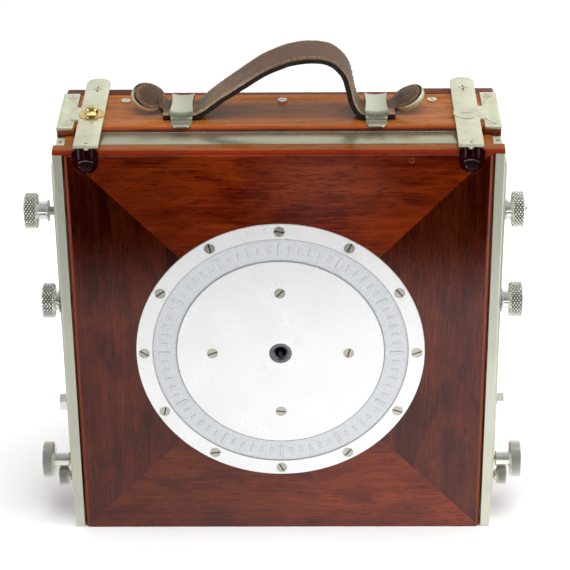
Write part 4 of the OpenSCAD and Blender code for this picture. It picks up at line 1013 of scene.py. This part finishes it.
# ------------------------------------------------------------------ stage, light, camera
W_ = bpy.data.worlds.new("studio")
bpy.context.scene.world = W_
W_.use_nodes = True
nt = W_.node_tree
nt.nodes.clear()


def wn(kind, **ins):
    n_ = nt.nodes.new("ShaderNode" + kind)
    for k, v in ins.items():
        k = int(k[1:]) if k[0] == "_" and k[1:].isdigit() else k.replace("_", " ")
        if isinstance(v, bpy.types.NodeSocket):
            nt.links.new(v, n_.inputs[k])
        else:
            n_.inputs[k].default_value = v
    return n_


def wramp(fac, stops):
    r_ = wn("ValToRGB", Fac=fac)
    el = r_.color_ramp.elements
    while len(el) < len(stops):
        el.new(0.5)
    for e_i, (p, v) in zip(el, stops):
        e_i.position = p; e_i.color = (v, v, v * 1.01, 1)
    return r_.outputs[0]


out = wn("OutputWorld")
tc = wn("TexCoord")
sp = wn("SeparateXYZ", _0=tc.outputs["Generated"])
zz = wn("MapRange", Value=sp.outputs[2]); zz.inputs["From Min"].default_value = -1.0
rear = wramp(zz.outputs[0], [(0.0, 0.02), (0.46, 0.04), (0.50, 0.70), (0.62, 0.82), (0.76, 0.85), (0.90, 0.45), (1.0, 0.22)])
front = wramp(zz.outputs[0], [(0.0, 0.01), (0.425, 0.015), (0.45, 1.0), (0.485, 2.6), (0.52, 2.6), (0.54, 0.10), (0.75, 0.06), (1.0, 0.22)])
yy = wn("MapRange", Value=sp.outputs[1]); yy.interpolation_type = "SMOOTHSTEP"
yy.inputs["From Min"].default_value = -0.45; yy.inputs["From Max"].default_value = 0.35
mixw = wn("MixRGB", _0=yy.outputs[0], _1=front, _2=rear)
xx = wn("MapRange", Value=sp.outputs[0]); xx.inputs["From Min"].default_value = -0.25; xx.inputs["From Max"].default_value = 0.25
xx.inputs["To Min"].default_value = 0.88; xx.inputs["To Max"].default_value = 1.25
bg = wn("Background", _0=mixw.outputs[0], _1=xx.outputs[0])
bgc = wn("Background", _0=(1, 1, 1, 1), _1=1.0)
lp = wn("LightPath")
mx = wn("MixShader", _0=lp.outputs["Is Camera Ray"], _1=bg.outputs[0], _2=bgc.outputs[0])
nt.links.new(mx.outputs[0], out.inputs[0])

# a plain pale floor; varnish and metal see it end a little in front of the camera body, as in the photo
fz = min(CAD_BOX[0].z, 0.0)
ft = T("studio_paper")
tcn = ft.n("TexCoord")
fcol = ft.mix(ft.noise(tcn.outputs["Object"], 3.0, 3.0), (0.90, 0.90, 0.905), (0.93, 0.93, 0.93))
ft.set(Base_Color=fcol, Roughness=0.85)
ft.p.inputs["Specular IOR Level"].default_value = 0.1
ft.p.inputs["Emission Color"].default_value = (0.98, 0.99, 1.0, 1)
ft.p.inputs["Emission Strength"].default_value = 0.03
# painted light seen in reflections: for glossy rays the floor in front of the bed is swapped for a glow that fades out
# towards the front, is dimmer on the left and brighter on the right, with a bright patch further in front
fs = ft.sep(tcn.outputs["Object"])
ry = ft.n("MapRange", interpolation_type="SMOOTHSTEP", ins={"Value": fs[1], "From Min": -0.53, "From Max": -0.37}).outputs[0]
rx = ft.n("MapRange", interpolation_type="SMOOTHSTEP", ins={"Value": fs[0], "From Min": -0.30, "From Max": 0.22, "To Min": 0.72, "To Max": 1.25}).outputs[0]
gx = ft.math("SUBTRACT", fs[0], 0.035); gy = ft.math("MULTIPLY", ft.math("ADD", fs[1], 0.64), 0.6)
gd = ft.math("SQRT", ft.math("ADD", ft.math("MULTIPLY", gx, gx), ft.math("MULTIPLY", gy, gy)))
glow = ft.n("MapRange", interpolation_type="SMOOTHSTEP", ins={"Value": gd, "From Min": 0.0, "From Max": 0.10, "To Min": 0.55, "To Max": 0.0}).outputs[0]
gl = ft.math("ADD", ft.math("MULTIPLY", ry, rx), glow)
em = ft.n("Emission", ins={"Color": (1, 1, 1, 1), "Strength": gl})
lpf = ft.n("LightPath")
isg = ft.math("MULTIPLY", lpf.outputs["Is Glossy Ray"], ft.math("LESS_THAN", fs[1], YF - 0.002))
mxf = ft.n("MixShader", ins={0: isg})
ft.link(ft.p.outputs[0], mxf.inputs[1]); ft.link(em.outputs[0], mxf.inputs[2])
ft.link(mxf.outputs[0], ft.out.inputs[0])
me = bpy.data.meshes.new("floor")
x_, yb_, yr_ = 3.2, -3.2, 3.2
me.from_pydata([(-x_, yb_, fz), (x_, yb_, fz), (x_, yr_, fz), (-x_, yr_, fz)], [], [(0, 1, 2, 3)])
floor = bpy.data.objects.new("floor", me)
bpy.context.scene.collection.objects.link(floor)
me.materials.append(ft.m)


def area(name, loc, target, size, power, col=(1, 1, 1), sy=None, glossy=True):
    L = bpy.data.lights.new(name, "AREA")
    L.energy = power; L.color = col
    L.shape = "RECTANGLE"; L.size = size; L.size_y = sy or size
    o = bpy.data.objects.new(name, L)
    bpy.context.scene.collection.objects.link(o)
    o.location = loc
    o.rotation_mode = "QUATERNION"
    o.rotation_quaternion = (Vector(target) - Vector(loc)).to_track_quat("-Z", "Y")
    o.visible_glossy = glossy
    return o


area("top_soft", (0.15, -0.35, 2.2), (0, 0, 0.1), 1.9, 50, glossy=False)
area("right_soft", (1.7, -0.3, 1.5), (0, 0, 0.15), 0.7, 13)
area("left_soft", (-1.7, -0.2, 1.5), (0, 0, 0.15), 0.7, 7)

e_, yw, rl = math.radians(28.534), math.radians(0.837), math.radians(-0.575)
back = Vector((math.sin(yw) * math.cos(e_), -math.cos(yw) * math.cos(e_), math.sin(e_)))
right = Vector((math.cos(yw), math.sin(yw), 0))
up = back.cross(right)
r2 = right * math.cos(rl) + up * math.sin(rl)
u2 = -right * math.sin(rl) + up * math.cos(rl)
cam = bpy.data.cameras.new("camera")
cam.sensor_width = 36.0
cam.lens = 2138.6 / 570 * 36
co = bpy.data.objects.new("camera", cam)
bpy.context.scene.collection.objects.link(co)
mat = Matrix((r2, u2, back)).transposed().to_4x4()
mat.translation = Vector((0.02265, -1.36192, 0.91099))
co.matrix_world = mat
bpy.context.scene.camera = co
bpy.context.scene.view_settings.view_transform = "Standard"
